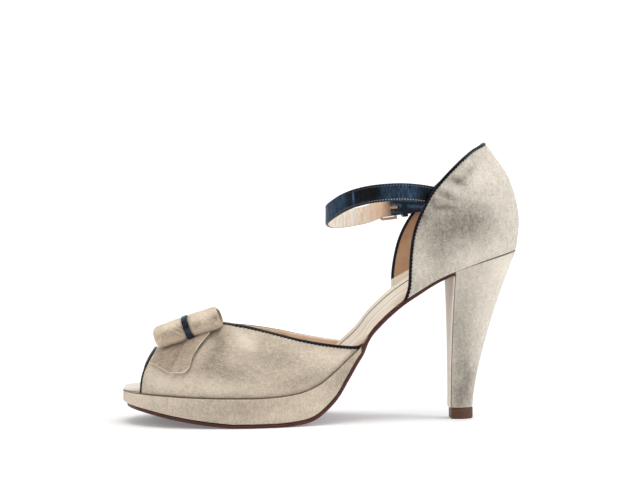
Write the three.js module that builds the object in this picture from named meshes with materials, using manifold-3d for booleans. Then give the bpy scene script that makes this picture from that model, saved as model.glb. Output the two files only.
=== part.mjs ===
// A woman's right peep-toe sandal with a covered platform and a high heel, in millimetres.
// +Z is up, the toe points to -X, the inner (medial) side of the foot is at -Y.
// The origin lies on the floor under the tread, the flat spot of the sole below the ball of the foot.
import * as THREE from "three";
import { mergeVertices } from "three/addons/utils/BufferGeometryUtils.js";
import Module from "manifold-3d";

const wasm = await Module();
wasm.setup();

// Driving sizes of the last and of the sole under it
const SHOE_LENGTH = 223;
const BALL_WIDTH = 78;
const BALL_HEIGHT = 16;
const SEAT_RISE = 79.7;
const TREAD_AT = 0.329;
const INSTEP_HEIGHT = 45;
const COUNTER_HEIGHT = 61.4;

// Thicknesses of the materials, and the clearance that curved pieces keep from each other
const GAP = 0.3;
const UPPER_WALL = 1.6;
const BINDING_PROUD = 0.35;
const BINDING_WIDTH = 1.6;
const TOE_BINDING_WIDTH = 1.0;
const INSOLE_THICKNESS = 3.8;
const INSOLE_TOE_THICKNESS = 1.5;
const INSOLE_CUP = 1.1;
const OUTSOLE_THICKNESS = 2.1;
const PLATFORM_EDGE = 0.9;
const OUTSOLE_TUCK = 2.2;
const OUTSOLE_INSET = 0.2;
const SEAT_INSET = 0.5;

// Heel and its top piece
const HEEL_FRONT_AT = 0.834;
const TIP_LENGTH = 12.7;
const TIP_WIDTH = 12.4;
const TIP_HEIGHT = 6.5;
const TIP_BACK_AT = 0.889;
const TIP_PROUD = 0.12;
const BREAST_THICKNESS = 0.9;
const BREAST_INSET = 0.4;
const HEEL_CORNER = 4;
const HEEL_SWEEP = 1.45;
const HEEL_WAIST = 2.0;

// Ankle strap and its buckle
const STRAP_WIDTH = 10;
const STRAP_END_REACH = 22;
const STRAP_THICKNESS = 1.6;
const BUCKLE_STRAP_THICKNESS = 1.1;
const BUCKLE_STRAP_WIDTH = 9;
const BUCKLE_WIRE = 1.6;
const BUCKLE_LENGTH = 10;
const BUCKLE_HEIGHT = STRAP_WIDTH + 2 * (GAP + BUCKLE_WIRE);
const BUCKLE_ROUND = 2;
const PRONG_WIDTH = 1.4;
const KEEPER_WIDTH = 3;
const KEEPER_WALL = 0.9;
const PRONG_THICKNESS = 1.2;

// Bow
const BOW_LENGTH = 38;
const BOW_HEIGHT = 12.6;
const BOW_DEPTH = 13.6;
const BOW_WALL = 1.2;
const BOW_PINCH = 0.9;
const BAND_WIDTH = 3.9;
const BAND_THICKNESS = 1.1;
const TAIL_THICKNESS = 1.1;
const TAIL_LIFT = 0.35;
const BOW_SIDES = 20;

const along = (at) => (at - TREAD_AT) * SHOE_LENGTH;
const share = (x) => x / SHOE_LENGTH + TREAD_AT;
const TOE = along(0);
const BACK = along(1);
const SEAT_HALF = 0.325 * BALL_WIDTH;

// A smooth curve through the rows of a table, read by one of its columns
function reader(rows, key, by = "at") {
  const slope = rows.map((row, i) => {
    const before = rows[Math.max(i - 1, 0)];
    const after = rows[Math.min(i + 1, rows.length - 1)];
    return (after[key] - before[key]) / (after[by] - before[by]);
  });
  return (value) => {
    let i = 0;
    while (i < rows.length - 2 && value > rows[i + 1][by]) i += 1;
    const [a, b] = [rows[i], rows[i + 1]];
    const span = b[by] - a[by];
    const t = (value - a[by]) / span;
    if (t < 0) return a[key] + slope[i] * (value - a[by]);
    if (t > 1) return b[key] + slope[i + 1] * (value - b[by]);
    const s = t * t * (3 - 2 * t);
    const bend = t * (1 - t) * span;
    return a[key] + (b[key] - a[key]) * s + bend * ((1 - t) * slope[i] - t * slope[i + 1]);
  };
}

// Feather line, the edge where upper and sole meet: its rise over the ball as a share of SEAT_RISE
const FEATHER = [
  { at: 0.0, rise: 0.03 },
  { at: 0.096, rise: 0.023 },
  { at: 0.169, rise: 0.016 },
  { at: 0.266, rise: 0.011 },
  { at: 0.364, rise: 0.013 },
  { at: 0.439, rise: 0.036 },
  { at: 0.489, rise: 0.09 },
  { at: 0.527, rise: 0.17 },
  { at: 0.562, rise: 0.26 },
  { at: 0.598, rise: 0.355 },
  { at: 0.63, rise: 0.472 },
  { at: 0.685, rise: 0.617 },
  { at: 0.747, rise: 0.736 },
  { at: 0.796, rise: 0.815 },
  { at: 0.851, rise: 0.879 },
  { at: 0.917, rise: 0.942 },
  { at: 1.0, rise: 1.004 },
];
const riseAt = reader(FEATHER, "rise");
const feather = (x) => BALL_HEIGHT + SEAT_RISE * riseAt(share(x));

// Half widths of the last's bottom as shares of BALL_WIDTH, before the toe and the heel are rounded
const PLAN = [
  { at: 0.0, medial: 0.494, lateral: 0.487 },
  { at: 0.302, medial: 0.5, lateral: 0.5 },
  { at: 0.365, medial: 0.475, lateral: 0.505 },
  { at: 0.437, medial: 0.41, lateral: 0.475 },
  { at: 0.49, medial: 0.355, lateral: 0.43 },
  { at: 0.54, medial: 0.31, lateral: 0.385 },
  { at: 0.58, medial: 0.287, lateral: 0.35 },
  { at: 0.63, medial: 0.275, lateral: 0.32 },
  { at: 0.685, medial: 0.278, lateral: 0.31 },
  { at: 0.747, medial: 0.295, lateral: 0.31 },
  { at: 0.8, medial: 0.31, lateral: 0.317 },
  { at: 0.86, medial: 0.32, lateral: 0.325 },
  { at: 1.0, medial: 0.32, lateral: 0.325 },
];
const PLAN_SIDE = { "-1": reader(PLAN, "medial"), 1: reader(PLAN, "lateral") };
const TOE_ROUND = { reach: 0.28, power: 2.2 };
const HEEL_ROUND = { reach: 0.15, power: 2.3 };

function rounding(at, { reach, power }) {
  const into = Math.min(Math.max(1 - at / reach, 0), 1);
  return Math.sqrt(1 - into ** power);
}

// Half width of the last's bottom at x, on the medial (-1) or the lateral (1) side
function halfWidth(x, side) {
  const at = Math.min(Math.max(share(x), 0), 1);
  return BALL_WIDTH * PLAN_SIDE[side](at) * rounding(at, TOE_ROUND) * rounding(1 - at, HEEL_ROUND);
}

// A closed body from two grids of points that share their rims: a skin and the skin under it
function closedSheet(top, under, wrap = false) {
  const rows = top.length;
  const columns = top[0].length;
  const points = [];
  const faces = [];
  const number = (skin, i, j) => (skin * rows + i) * columns + (j % columns);
  for (const skin of [top, under]) {
    for (const row of skin) points.push(...row);
  }
  const quad = (a, b, c, d) => faces.push([a, b, c], [a, c, d]);
  const lastColumn = wrap ? columns : columns - 1;
  for (let i = 0; i < rows - 1; i += 1) {
    for (let j = 0; j < lastColumn; j += 1) {
      quad(number(0, i, j), number(0, i, j + 1), number(0, i + 1, j + 1), number(0, i + 1, j));
      quad(number(1, i, j), number(1, i + 1, j), number(1, i + 1, j + 1), number(1, i, j + 1));
    }
    if (!wrap) {
      quad(number(0, i, 0), number(0, i + 1, 0), number(1, i + 1, 0), number(1, i, 0));
      const j = columns - 1;
      quad(number(0, i, j), number(1, i, j), number(1, i + 1, j), number(0, i + 1, j));
    }
  }
  for (let j = 0; j < lastColumn; j += 1) {
    quad(number(0, 0, j), number(1, 0, j), number(1, 0, j + 1), number(0, 0, j + 1));
    const i = rows - 1;
    quad(number(0, i, j), number(0, i, j + 1), number(1, i, j + 1), number(1, i, j));
  }
  return bodyOf(points, faces);
}

// A closed body from rings of points, one ring a section; a cap joins the two halves of its ring
function loft(rings) {
  const count = rings[0].length;
  const faces = [];
  for (let i = 0; i < rings.length - 1; i += 1) {
    for (let j = 0; j < count; j += 1) {
      const [a, b] = [i * count + j, i * count + ((j + 1) % count)];
      faces.push([a, b, b + count], [a, b + count, a + count]);
    }
  }
  for (const start of [0, (rings.length - 1) * count]) {
    for (let j = 0; j < Math.floor(count / 2); j += 1) {
      const [a, b] = [start + j, start + j + 1];
      const [c, d] = [start + count - 2 - j, start + count - 1 - j];
      const cap = start === 0 ? [a, d, c, b] : [a, b, c, d];
      faces.push([cap[0], cap[1], cap[2]], [cap[0], cap[2], cap[3]]);
    }
  }
  return bodyOf(rings.flat(), faces);
}

// Geometry of a faceted body, its faces turned out and its collapsed faces left out
function bodyOf(points, faces) {
  const raw = new THREE.BufferGeometry();
  raw.setAttribute("position", new THREE.Float32BufferAttribute(points.flatMap((p) => [...p]), 3));
  raw.setIndex(faces.flat());
  const merged = mergeVertices(raw, 1e-3);
  const place = merged.getAttribute("position");
  const index = merged.index.array;
  const kept = [];
  let volume = 0;
  const [a, b, c] = [new THREE.Vector3(), new THREE.Vector3(), new THREE.Vector3()];
  for (let i = 0; i < index.length; i += 3) {
    const [p, q, r] = [index[i], index[i + 1], index[i + 2]];
    if (p === q || q === r || p === r) continue;
    kept.push(p, q, r);
    a.fromBufferAttribute(place, p);
    b.fromBufferAttribute(place, q);
    c.fromBufferAttribute(place, r);
    volume += a.dot(b.cross(c));
  }
  if (volume < 0) kept.reverse();
  merged.setIndex(kept);
  return merged;
}

function solidOf(geometry) {
  const bare = geometry.clone();
  bare.deleteAttribute("normal");
  bare.deleteAttribute("uv");
  const merged = mergeVertices(bare, 1e-4);
  return new wasm.Manifold(
    new wasm.Mesh({
      numProp: 3,
      vertProperties: merged.getAttribute("position").array,
      triVerts: new Uint32Array(merged.index.array),
    }),
  );
}

function geometryOf(solid) {
  const mesh = solid.getMesh();
  const geometry = new THREE.BufferGeometry();
  geometry.setAttribute("position", new THREE.BufferAttribute(mesh.vertProperties, 3));
  geometry.setIndex(new THREE.BufferAttribute(mesh.triVerts, 1));
  return geometry;
}

const cut = (geometry, tool) => geometryOf(solidOf(geometry).subtract(solidOf(tool)));

const shoe = new THREE.Group();
function add(name, geometry, color, roughness, metalness = 0, parent = shoe) {
  geometry.computeVertexNormals();
  const mesh = new THREE.Mesh(
    geometry,
    new THREE.MeshStandardMaterial({ color, roughness, metalness }),
  );
  mesh.name = name;
  parent.add(mesh);
  return mesh;
}

const SUEDE = 0xcbbfa9;
const PATENT = 0x141d33;
const SOLE_LEATHER = 0x5e3226;
const INSOLE_LEATHER = 0xe9dfca;
const BREAST_LEATHER = 0xe3d4bd;
const METAL = 0xd9b08a;

const range = (count, from = 0, to = 1) =>
  Array.from({ length: count + 1 }, (_, i) => from + ((to - from) * i) / count);

// Places along a piece, close together where its round end needs them
function stations(from, to, count, roundStart, roundEnd) {
  return range(count).map((t) => {
    let eased = t;
    if (roundStart && roundEnd) eased = (1 - Math.cos(Math.PI * t)) / 2;
    else if (roundStart) eased = 1 - Math.cos((Math.PI / 2) * t);
    else if (roundEnd) eased = Math.sin((Math.PI / 2) * t);
    return from + (to - from) * eased;
  });
}

// Stations of the sole, shared by its layers so that their gaps stay even
const SPINE = [
  ...stations(along(0.002), along(0.278), 10, true, false),
  ...range(2, along(0.33), along(0.38)),
  ...range(14, along(0.405), along(0.7)),
  ...range(7, along(0.725), along(0.9)),
  ...stations(along(0.915), along(0.998), 6, false, true),
];
const spineBetween = (from, to) => [from, ...SPINE.filter((x) => x > from + 0.4 && x < to - 0.4), to];

// One section of a flat layer across the shoe, its edges rounded over by a share of its thickness
function layerRing(x, medial, lateral, low, high, roundLow = 0.25, roundHigh = 0.25) {
  const thick = high - low;
  const soft = Math.min(0.35 * thick, 0.4 * Math.min(medial, lateral));
  return [
    [x, -medial + soft * 4 * roundLow, low],
    [x, lateral - soft * 4 * roundLow, low],
    [x, lateral, low + thick * roundLow],
    [x, lateral, high - thick * roundHigh],
    [x, lateral - soft * 4 * roundHigh, high],
    [x, -medial + soft * 4 * roundHigh, high],
    [x, -medial, high - thick * roundHigh],
    [x, -medial, low + thick * roundLow],
  ];
}

// Underside of the outsole under the platform: its height over the floor as a share of SEAT_RISE
const UNDERSIDE = [
  { at: 0.0, lift: 0.121 },
  { at: 0.02, lift: 0.109 },
  { at: 0.057, lift: 0.09 },
  { at: 0.12, lift: 0.056 },
  { at: 0.181, lift: 0.029 },
  { at: 0.24, lift: 0.009 },
  { at: 0.278, lift: 0.0 },
  { at: 0.38, lift: 0.0 },
  { at: 0.424, lift: 0.007 },
  { at: 0.467, lift: 0.028 },
  { at: 0.495, lift: 0.07 },
  { at: 0.5345, lift: 0.176 },
  { at: 0.5615, lift: 0.296 },
  { at: 0.584, lift: 0.403 },
  { at: 0.603, lift: 0.488 },
  { at: 0.614, lift: 0.562 },
  { at: 0.63, lift: 0.656 },
];
const TREAD_FLAT = { from: 0.278, to: 0.38 };
const PLATFORM_END_AT = 0.594;
const SHANK_START_AT = 0.627;
const liftAt = reader(UNDERSIDE, "lift");

function steepness(height, x) {
  const step = 0.5;
  return Math.hypot(1, (height(x + step) - height(x - step)) / (2 * step));
}

function platformUnderside(x) {
  const at = share(x);
  if (at >= TREAD_FLAT.from && at <= TREAD_FLAT.to) return 0;
  return Math.max(SEAT_RISE * liftAt(at), 0);
}
const shankUnderside = (x) => feather(x) - GAP - OUTSOLE_THICKNESS * steepness(feather, x);
function outsoleUnderside(x) {
  return share(x) < SHANK_START_AT ? platformUnderside(x) : shankUnderside(x);
}
const platformLow = (x) => platformUnderside(x) + OUTSOLE_THICKNESS * steepness(platformUnderside, x);

// Outsole: one thin leather sole from the toe, up the back of the platform, to the heel breast
const outsoleEnd = along(HEEL_FRONT_AT) - 2 * GAP - BREAST_THICKNESS;
const stepUp = along(PLATFORM_END_AT) + 2 * GAP;
const outsoleToe = TOE + OUTSOLE_TUCK + 0.05;
const outsoleStations = [
  outsoleToe,
  ...spineBetween(outsoleToe + 0.5, stepUp - GAP),
  ...spineBetween(stepUp, outsoleEnd),
];
function outsoleHalf(x, side) {
  const inFront = halfWidth(x - OUTSOLE_TUCK, side) - OUTSOLE_INSET;
  const inWaist = halfWidth(x, side) - UPPER_WALL - BINDING_PROUD;
  const underSeat = halfWidth(x, side) - SEAT_INSET;
  const waist = THREE.MathUtils.smoothstep(x, along(0.56), along(0.62));
  const seat = THREE.MathUtils.smoothstep(x, along(0.7), along(0.74));
  return THREE.MathUtils.lerp(THREE.MathUtils.lerp(inFront, inWaist, waist), underSeat, seat);
}
add(
  "outsole",
  loft(
    outsoleStations.map((x) => {
      const top = x < stepUp - GAP / 2 ? platformLow(x) : feather(x) - GAP;
      return layerRing(x, outsoleHalf(x, -1), outsoleHalf(x, 1), outsoleUnderside(x), top, 0.1, 0.1);
    }),
  ),
  SOLE_LEATHER,
  0.55,
);

// Platform: a suede-covered block under the forefoot, from the toe to a thin edge at the waist
const platformHalf = (x, side) => halfWidth(x, side) + PLATFORM_EDGE;
add(
  "platform",
  loft(
    spineBetween(TOE + 0.03, along(PLATFORM_END_AT)).map((x) => {
      const low = platformLow(x) + GAP;
      return layerRing(x, platformHalf(x, -1), platformHalf(x, 1), low, feather(x) - GAP, 0.1, 0.03);
    }),
  ),
  SUEDE,
  0.95,
);

// Insole: a padded leather sock wrapped round its board, inside the walls of the upper
const INSOLE_INSET = UPPER_WALL + BINDING_PROUD + GAP;
const insoleToe = TOE + 0.9;
const insoleBack = BACK - INSOLE_INSET;
function insoleHalf(x, side) {
  const walled = THREE.MathUtils.smoothstep(x, along(0.008), along(0.038));
  const step = 0.05;
  const near = Math.min(Math.max(x, insoleToe), BACK - 4 * step);
  const lean = (halfWidth(near + step, side) - halfWidth(near - step, side)) / (2 * step);
  const inset = THREE.MathUtils.lerp(0.1, INSOLE_INSET + 0.1, walled) * Math.hypot(1, lean);
  return Math.max(halfWidth(near, side) - inset, 1.2);
}
function insoleRing(x) {
  const forefoot = THREE.MathUtils.smoothstep(x, TOE, along(0.2));
  const thickness = THREE.MathUtils.lerp(INSOLE_TOE_THICKNESS, INSOLE_THICKNESS, forefoot);
  const cup = INSOLE_CUP * THREE.MathUtils.smoothstep(x, along(0.45), along(0.62));
  const [low, rim] = [feather(x), feather(x) + thickness + cup];
  const ring = layerRing(x, insoleHalf(x, -1), insoleHalf(x, 1), low, rim, 0.1, 0.3);
  const [right, left] = [ring[4][1], ring[5][1]];
  const hollow = [0.75, 0.5, 0.25].map((part) => {
    const depth = 1 - (2 * part - 1) ** 2;
    return [x, THREE.MathUtils.lerp(left, right, part), rim - 1.5 * cup * depth];
  });
  ring.splice(5, 0, ...hollow);
  return ring;
}
add(
  "insole",
  loft(spineBetween(insoleToe, insoleBack).map(insoleRing)),
  INSOLE_LEATHER,
  0.6,
);

// Point moved off a skin along the skin's own normal, which is found from its neighbours
function offSkin(skin, u, v, distance, du, dv) {
  const spot = new THREE.Vector3(...skin(u, v));
  const alongU = new THREE.Vector3(...skin(u + du, v)).sub(new THREE.Vector3(...skin(u - du, v)));
  const alongV = new THREE.Vector3(...skin(u, v + dv)).sub(new THREE.Vector3(...skin(u, v - dv)));
  const normal = alongU.cross(alongV).normalize();
  return spot.addScaledVector(normal, distance).toArray();
}

// Ridge of the forefoot over the feather line, as a share of INSTEP_HEIGHT, and its sideways place
const RIDGE = [
  { at: 0.0, height: 0.2, aside: 0.0 },
  { at: 0.042, height: 0.37, aside: 0.0 },
  { at: 0.075, height: 0.5, aside: 0.0 },
  { at: 0.12, height: 0.59, aside: 0.0 },
  { at: 0.16, height: 0.66, aside: 0.0 },
  { at: 0.2, height: 0.765, aside: 0.0 },
  { at: 0.251, height: 0.89, aside: 0.0 },
  { at: 0.302, height: 0.935, aside: -0.02 },
  { at: 0.365, height: 0.99, aside: -0.03 },
  { at: 0.437, height: 1.05, aside: -0.04 },
  { at: 0.49, height: 1.08, aside: -0.04 },
  { at: 0.54, height: 1.09, aside: -0.04 },
  { at: 0.63, height: 1.1, aside: -0.04 },
];
const ridgeAt = reader(RIDGE, "height");
const asideAt = reader(RIDGE, "aside");
const VAMP_FULLNESS = { toe: 0.92, throat: 1.12 };
const VAMP_BELLY = 0.035;

// Skin of the vamp: turn runs from 0 at the medial feather over the ridge to pi at the lateral one
function vampSkin(x, turn) {
  const at = share(x);
  const side = turn < Math.PI / 2 ? -1 : 1;
  const slimming = THREE.MathUtils.smoothstep(at, 0.08, 0.25);
  const power = THREE.MathUtils.lerp(VAMP_FULLNESS.toe, VAMP_FULLNESS.throat, slimming);
  const reach = Math.abs(Math.cos(turn)) ** power;
  const belly = 1 + VAMP_BELLY * Math.sin(2 * Math.min(turn, Math.PI - turn));
  const rise = Math.max(Math.sin(turn), 0);
  const y = side * halfWidth(x, side) * reach * belly + asideAt(at) * BALL_WIDTH * rise ** 2;
  return [x, y, feather(x) + INSTEP_HEIGHT * ridgeAt(at) * rise];
}

// Topline of the vamp in side view: height over the floor as a share of INSTEP_HEIGHT
const VAMP_TOPLINE = [
  { at: 0.2, height: 1.262 },
  { at: 0.251, height: 1.254 },
  { at: 0.281, height: 1.24 },
  { at: 0.318, height: 1.213 },
  { at: 0.354, height: 1.174 },
  { at: 0.391, height: 1.129 },
  { at: 0.44, height: 1.068 },
  { at: 0.489, height: 1.018 },
  { at: 0.552, height: 0.972 },
  { at: 0.588, height: 0.968 },
  { at: 0.603, height: 1.022 },
  { at: 0.613, height: 1.095 },
  { at: 0.63, height: 1.25 },
];
const vampTopAt = reader(VAMP_TOPLINE, "height");

// How far the lateral topline lies below the medial one, as shares of INSTEP_HEIGHT
const LATERAL_DIP = [
  { at: 0.2, dip: 0.047 },
  { at: 0.31, dip: 0.046 },
  { at: 0.36, dip: 0.034 },
  { at: 0.42, dip: 0.021 },
  { at: 0.63, dip: 0.018 },
];
const dipAt = reader(LATERAL_DIP, "dip");
const VAMP_TAIL_AT = 0.612;

function vampTopline(x, turn, inset) {
  const top = (at) => INSTEP_HEIGHT * vampTopAt(at);
  const at = share(x);
  const lean = Math.hypot(1, (top(at + 0.004) - top(at - 0.004)) / (0.008 * SHOE_LENGTH));
  const lateral = THREE.MathUtils.smoothstep(turn, Math.PI / 2, 0.65 * Math.PI);
  return top(at) - lateral * dipAt(at) * INSTEP_HEIGHT - inset * lean;
}

// Peep-toe edge in side view: its place along the shoe for a height over the feather line
const PEEP = [
  { height: 0.0, at: 0.043 },
  { height: 0.13, at: 0.045 },
  { height: 0.25, at: 0.05 },
  { height: 0.38, at: 0.062 },
  { height: 0.5, at: 0.0755 },
  { height: 0.62, at: 0.09 },
];
const peepAt = reader(PEEP, "at", "height");

// Where a line of constant turn on the vamp first meets a limit, found by halving
function crossing(from, to, inside) {
  let [low, high] = [from, to];
  for (let i = 0; i < 40; i += 1) {
    const middle = (low + high) / 2;
    if (inside(middle)) low = middle;
    else high = middle;
  }
  return (low + high) / 2;
}

function vampBackEnd(turn, inset) {
  const tail = along(VAMP_TAIL_AT) - inset;
  return crossing(along(0.2), tail, (x) => vampSkin(x, turn)[2] < vampTopline(x, turn, inset));
}

function vampFrontEnd(turn, inset) {
  return crossing(along(0.2), TOE, (x) => {
    const height = (vampSkin(x, turn)[2] - feather(x)) / INSTEP_HEIGHT;
    return x > along(peepAt(height)) + inset;
  });
}

// Turns whose ends lie at even distances along the topline, from the medial to the lateral tail
function evenTurns(count) {
  const fine = range(400).map((t) => (Math.PI * (1 - Math.cos(Math.PI * t))) / 2);
  const ends = fine.map((turn) => new THREE.Vector3(...vampSkin(vampBackEnd(turn, 0), turn)));
  const run = [0];
  for (let i = 1; i < ends.length; i += 1) run.push(run[i - 1] + ends[i].distanceTo(ends[i - 1]));
  return range(count).map((t) => {
    const wanted = t * run.at(-1);
    let i = 1;
    while (i < run.length - 1 && run[i] < wanted) i += 1;
    const part = (wanted - run[i - 1]) / (run[i] - run[i - 1]);
    return fine[i - 1] + (fine[i] - fine[i - 1]) * part;
  });
}

const FEATHER_TURN = 0.012;
const vampOff = (x, turn, distance) => {
  const safe = Math.min(Math.max(turn, FEATHER_TURN), Math.PI - FEATHER_TURN);
  const [px, py, pz] = offSkin(vampSkin, x, safe, distance, 0.4, 0.01);
  return [px, py, turn === safe ? pz : feather(px)];
};

const vampTurns = evenTurns(36);
function vampPiece(front, back, count, outside, inside) {
  const lines = vampTurns.map((turn) => {
    const [from, to] = [front(turn), back(turn)];
    return { turn, places: range(count).map((t) => from + (to - from) * t) };
  });
  const skinAt = (distance) =>
    lines.map(({ turn, places }) => places.map((x) => vampOff(x, turn, distance)));
  return closedSheet(skinAt(outside), skinAt(inside));
}

// Vamp: suede outside and leather inside, as one wall, open at the toe, the throat and underneath
add(
  "vamp",
  vampPiece(
    (turn) => vampFrontEnd(turn, TOE_BINDING_WIDTH + GAP),
    (turn) => vampBackEnd(turn, BINDING_WIDTH + GAP),
    15,
    0,
    -UPPER_WALL,
  ),
  SUEDE,
  0.95,
);

// Patent bindings folded over the topline and over the peep-toe edge
add(
  "vamp_topline_binding",
  vampPiece(
    (turn) => vampBackEnd(turn, BINDING_WIDTH),
    (turn) => vampBackEnd(turn, 0),
    1,
    BINDING_PROUD,
    -UPPER_WALL - BINDING_PROUD,
  ),
  PATENT,
  0.12,
);
add(
  "toe_binding",
  vampPiece(
    (turn) => vampFrontEnd(turn, 0),
    (turn) => vampFrontEnd(turn, TOE_BINDING_WIDTH),
    1,
    BINDING_PROUD,
    -UPPER_WALL - BINDING_PROUD,
  ),
  PATENT,
  0.12,
);

// Skin of the counter: w is the root of the distance from the back, t the height over the feather
const BACK_CURVE = [
  { t: 0.0, shift: 0.0 },
  { t: 0.135, shift: 0.0195 },
  { t: 0.256, shift: 0.0293 },
  { t: 0.37, shift: 0.0195 },
  { t: 0.506, shift: -0.0081 },
  { t: 0.62, shift: -0.0472 },
  { t: 0.72, shift: -0.0928 },
  { t: 0.787, shift: -0.1401 },
  { t: 0.88, shift: -0.2068 },
  { t: 0.945, shift: -0.2541 },
  { t: 1.0, shift: -0.2997 },
];
const backShift = reader(BACK_CURVE, "shift", "t");
const COUNTER_SPREAD = 0.07;
const COUNTER_PINCH = 0.2;

const backShare = (x) => THREE.MathUtils.smoothstep(x, along(0.72), BACK);
function counterSkin(w, t) {
  const x = BACK - w * w;
  const side = w < 0 ? -1 : 1;
  const behind = backShare(x);
  const swell = Math.sin(Math.PI * Math.min(Math.max(t, 0), 1) * 0.55);
  const width = 1 + COUNTER_SPREAD * swell * (1 - behind) - COUNTER_PINCH * t * t * behind;
  return [
    x + COUNTER_HEIGHT * backShift(t) * behind,
    side * halfWidth(x, side) * width,
    feather(x) + COUNTER_HEIGHT * t,
  ];
}

// Front edge and topline of the counter in side view, as height shares of COUNTER_HEIGHT over the
// seat's feather line at the edge's own place, from the feather up to the top of the back seam
const COUNTER_EDGE = [
  { run: 0.0, medial: 0.683, lateral: 0.66, height: 0.0 },
  { run: 0.04, medial: 0.7, lateral: 0.679, height: 0.012 },
  { run: 0.09, medial: 0.7105, lateral: 0.69, height: 0.1 },
  { run: 0.17, medial: 0.713, lateral: 0.692, height: 0.246 },
  { run: 0.26, medial: 0.7152, lateral: 0.6985, height: 0.394 },
  { run: 0.35, medial: 0.7205, lateral: 0.711, height: 0.533 },
  { run: 0.43, medial: 0.7303, lateral: 0.7325, height: 0.643 },
  { run: 0.52, medial: 0.747, lateral: 0.769, height: 0.743 },
  { run: 0.6, medial: 0.762, lateral: 0.802, height: 0.813 },
  { run: 0.68, medial: 0.7835, lateral: 0.8355, height: 0.876 },
  { run: 0.76, medial: 0.8185, lateral: 0.866, height: 0.953 },
  { run: 0.84, medial: 0.848, lateral: 0.891, height: 1.011 },
  { run: 0.91, medial: 0.876, lateral: 0.907, height: 1.052 },
  { run: 0.96, medial: 0.895, lateral: 0.9135, height: 1.065 },
  { run: 1.0, medial: 0.9172, lateral: 0.9172, height: 1.08 },
];
const edgeAt = { "-1": reader(COUNTER_EDGE, "medial", "run"), 1: reader(COUNTER_EDGE, "lateral", "run") };
const edgeHeight = reader(COUNTER_EDGE, "height", "run");

// A point of the edge in side view, moved inward by inset square to the edge
function counterEdge(run, side, inset) {
  const spot = (r) => {
    const x = along(edgeAt[side](r));
    return [x, feather(x) + COUNTER_HEIGHT * edgeHeight(r)];
  };
  const [x, z] = spot(run);
  const [ax, az] = spot(Math.max(run - 0.01, 0));
  const [bx, bz] = spot(Math.min(run + 0.01, 1));
  const length = Math.hypot(bx - ax, bz - az);
  return [x + (inset * (bz - az)) / length, z - (inset * (bx - ax)) / length];
}

// The counter skin's own coordinates of a point given in side view
function counterSpot(x, z, side) {
  let t = (z - feather(x)) / COUNTER_HEIGHT;
  let place = x;
  for (let i = 0; i < 60; i += 1) {
    place += 0.5 * (x - COUNTER_HEIGHT * backShift(t) * backShare(place) - place);
    place = Math.min(place, BACK);
    t = (z - feather(place)) / COUNTER_HEIGHT;
  }
  return [side * Math.sqrt(Math.max(BACK - place, 0)), Math.max(t, 0)];
}

// Lines of the counter from the feather up to its edge, from the medial front round to the lateral one
const COUNTER_RUNS = [...range(2, 0, 0.06), ...range(10, 0.1, 0.8), ...range(4, 0.86, 1)];
const COUNTER_FOOT_AT = 0.055;
const COUNTER_FOOT_SPACING = 1.15;
function counterPiece(edgeIn, edgeOut, rows, outside, inside, fromFeather) {
  const runs = COUNTER_RUNS.filter((run) => !fromFeather || run > COUNTER_FOOT_AT);
  const lines = [
    ...runs.map((run) => [run, -1]),
    ...runs.slice(0, -1).reverse().map((run) => [run, 1]),
  ].map(([run, side]) => {
    const upper = counterSpot(...counterEdge(run, side, edgeOut), side);
    let lower = counterSpot(...counterEdge(run, side, edgeIn), side);
    if (fromFeather) {
      const front = counterSpot(...counterEdge(runs[0], side, edgeOut), side)[0];
      lower = [front * ((1 - run) / (1 - runs[0])) ** COUNTER_FOOT_SPACING, 0];
    }
    return range(rows).map((s) => [
      lower[0] + (upper[0] - lower[0]) * s,
      lower[1] + (upper[1] - lower[1]) * s,
    ]);
  });
  const skinAt = (distance) =>
    lines.map((line) => line.map(([w, t]) => counterOff(w, t, distance)));
  return closedSheet(skinAt(outside), skinAt(inside));
}
function counterOff(w, t, distance) {
  const [x, y, z] = offSkin(counterSkin, w, t, distance, 0.02, 0.01);
  return t > 0 ? [x, y, z] : [x, y, feather(BACK - w * w)];
}

add(
  "counter",
  counterPiece(0, BINDING_WIDTH + GAP, 12, 0, -UPPER_WALL, true),
  SUEDE,
  0.95,
);
add(
  "counter_binding",
  counterPiece(BINDING_WIDTH, 0, 1, BINDING_PROUD, -UPPER_WALL - BINDING_PROUD, false),
  PATENT,
  0.12,
);

// Heel: a suede-covered block, round at the back and flat at the breast, tapering to its top piece
const heelFront = along(HEEL_FRONT_AT);
const tipBack = along(TIP_BACK_AT);
const tipScale = TIP_LENGTH / (BACK - heelFront);
function heelPoint(w, t, inset = 0) {
  const x = BACK - w * w;
  const side = w < 0 ? -1 : 1;
  const corner = HEEL_CORNER * (1 - THREE.MathUtils.smoothstep(x, heelFront, along(0.93))) ** 2;
  const y = side * Math.max(halfWidth(x, side) - corner - inset, 0);
  const tipX = tipBack - (BACK - x) * tipScale;
  const tipY = (y * TIP_WIDTH) / 2 / SEAT_HALF;
  const sweep = (1 - t) ** HEEL_SWEEP;
  const waist = (1 - t) ** HEEL_WAIST;
  return [
    tipX + (x - tipX) * sweep,
    tipY + (y - tipY) * waist,
    THREE.MathUtils.lerp(feather(x) - GAP, TIP_HEIGHT, t),
  ];
}
const heelEdge = Math.sqrt(BACK - heelFront);
const heelTurns = range(18, -heelEdge, heelEdge);
const heelLevels = range(9).map((t) => t ** 1.4);
add("heel", loft(heelLevels.map((t) => heelTurns.map((w) => heelPoint(w, t)))), SUEDE, 0.95);

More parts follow.
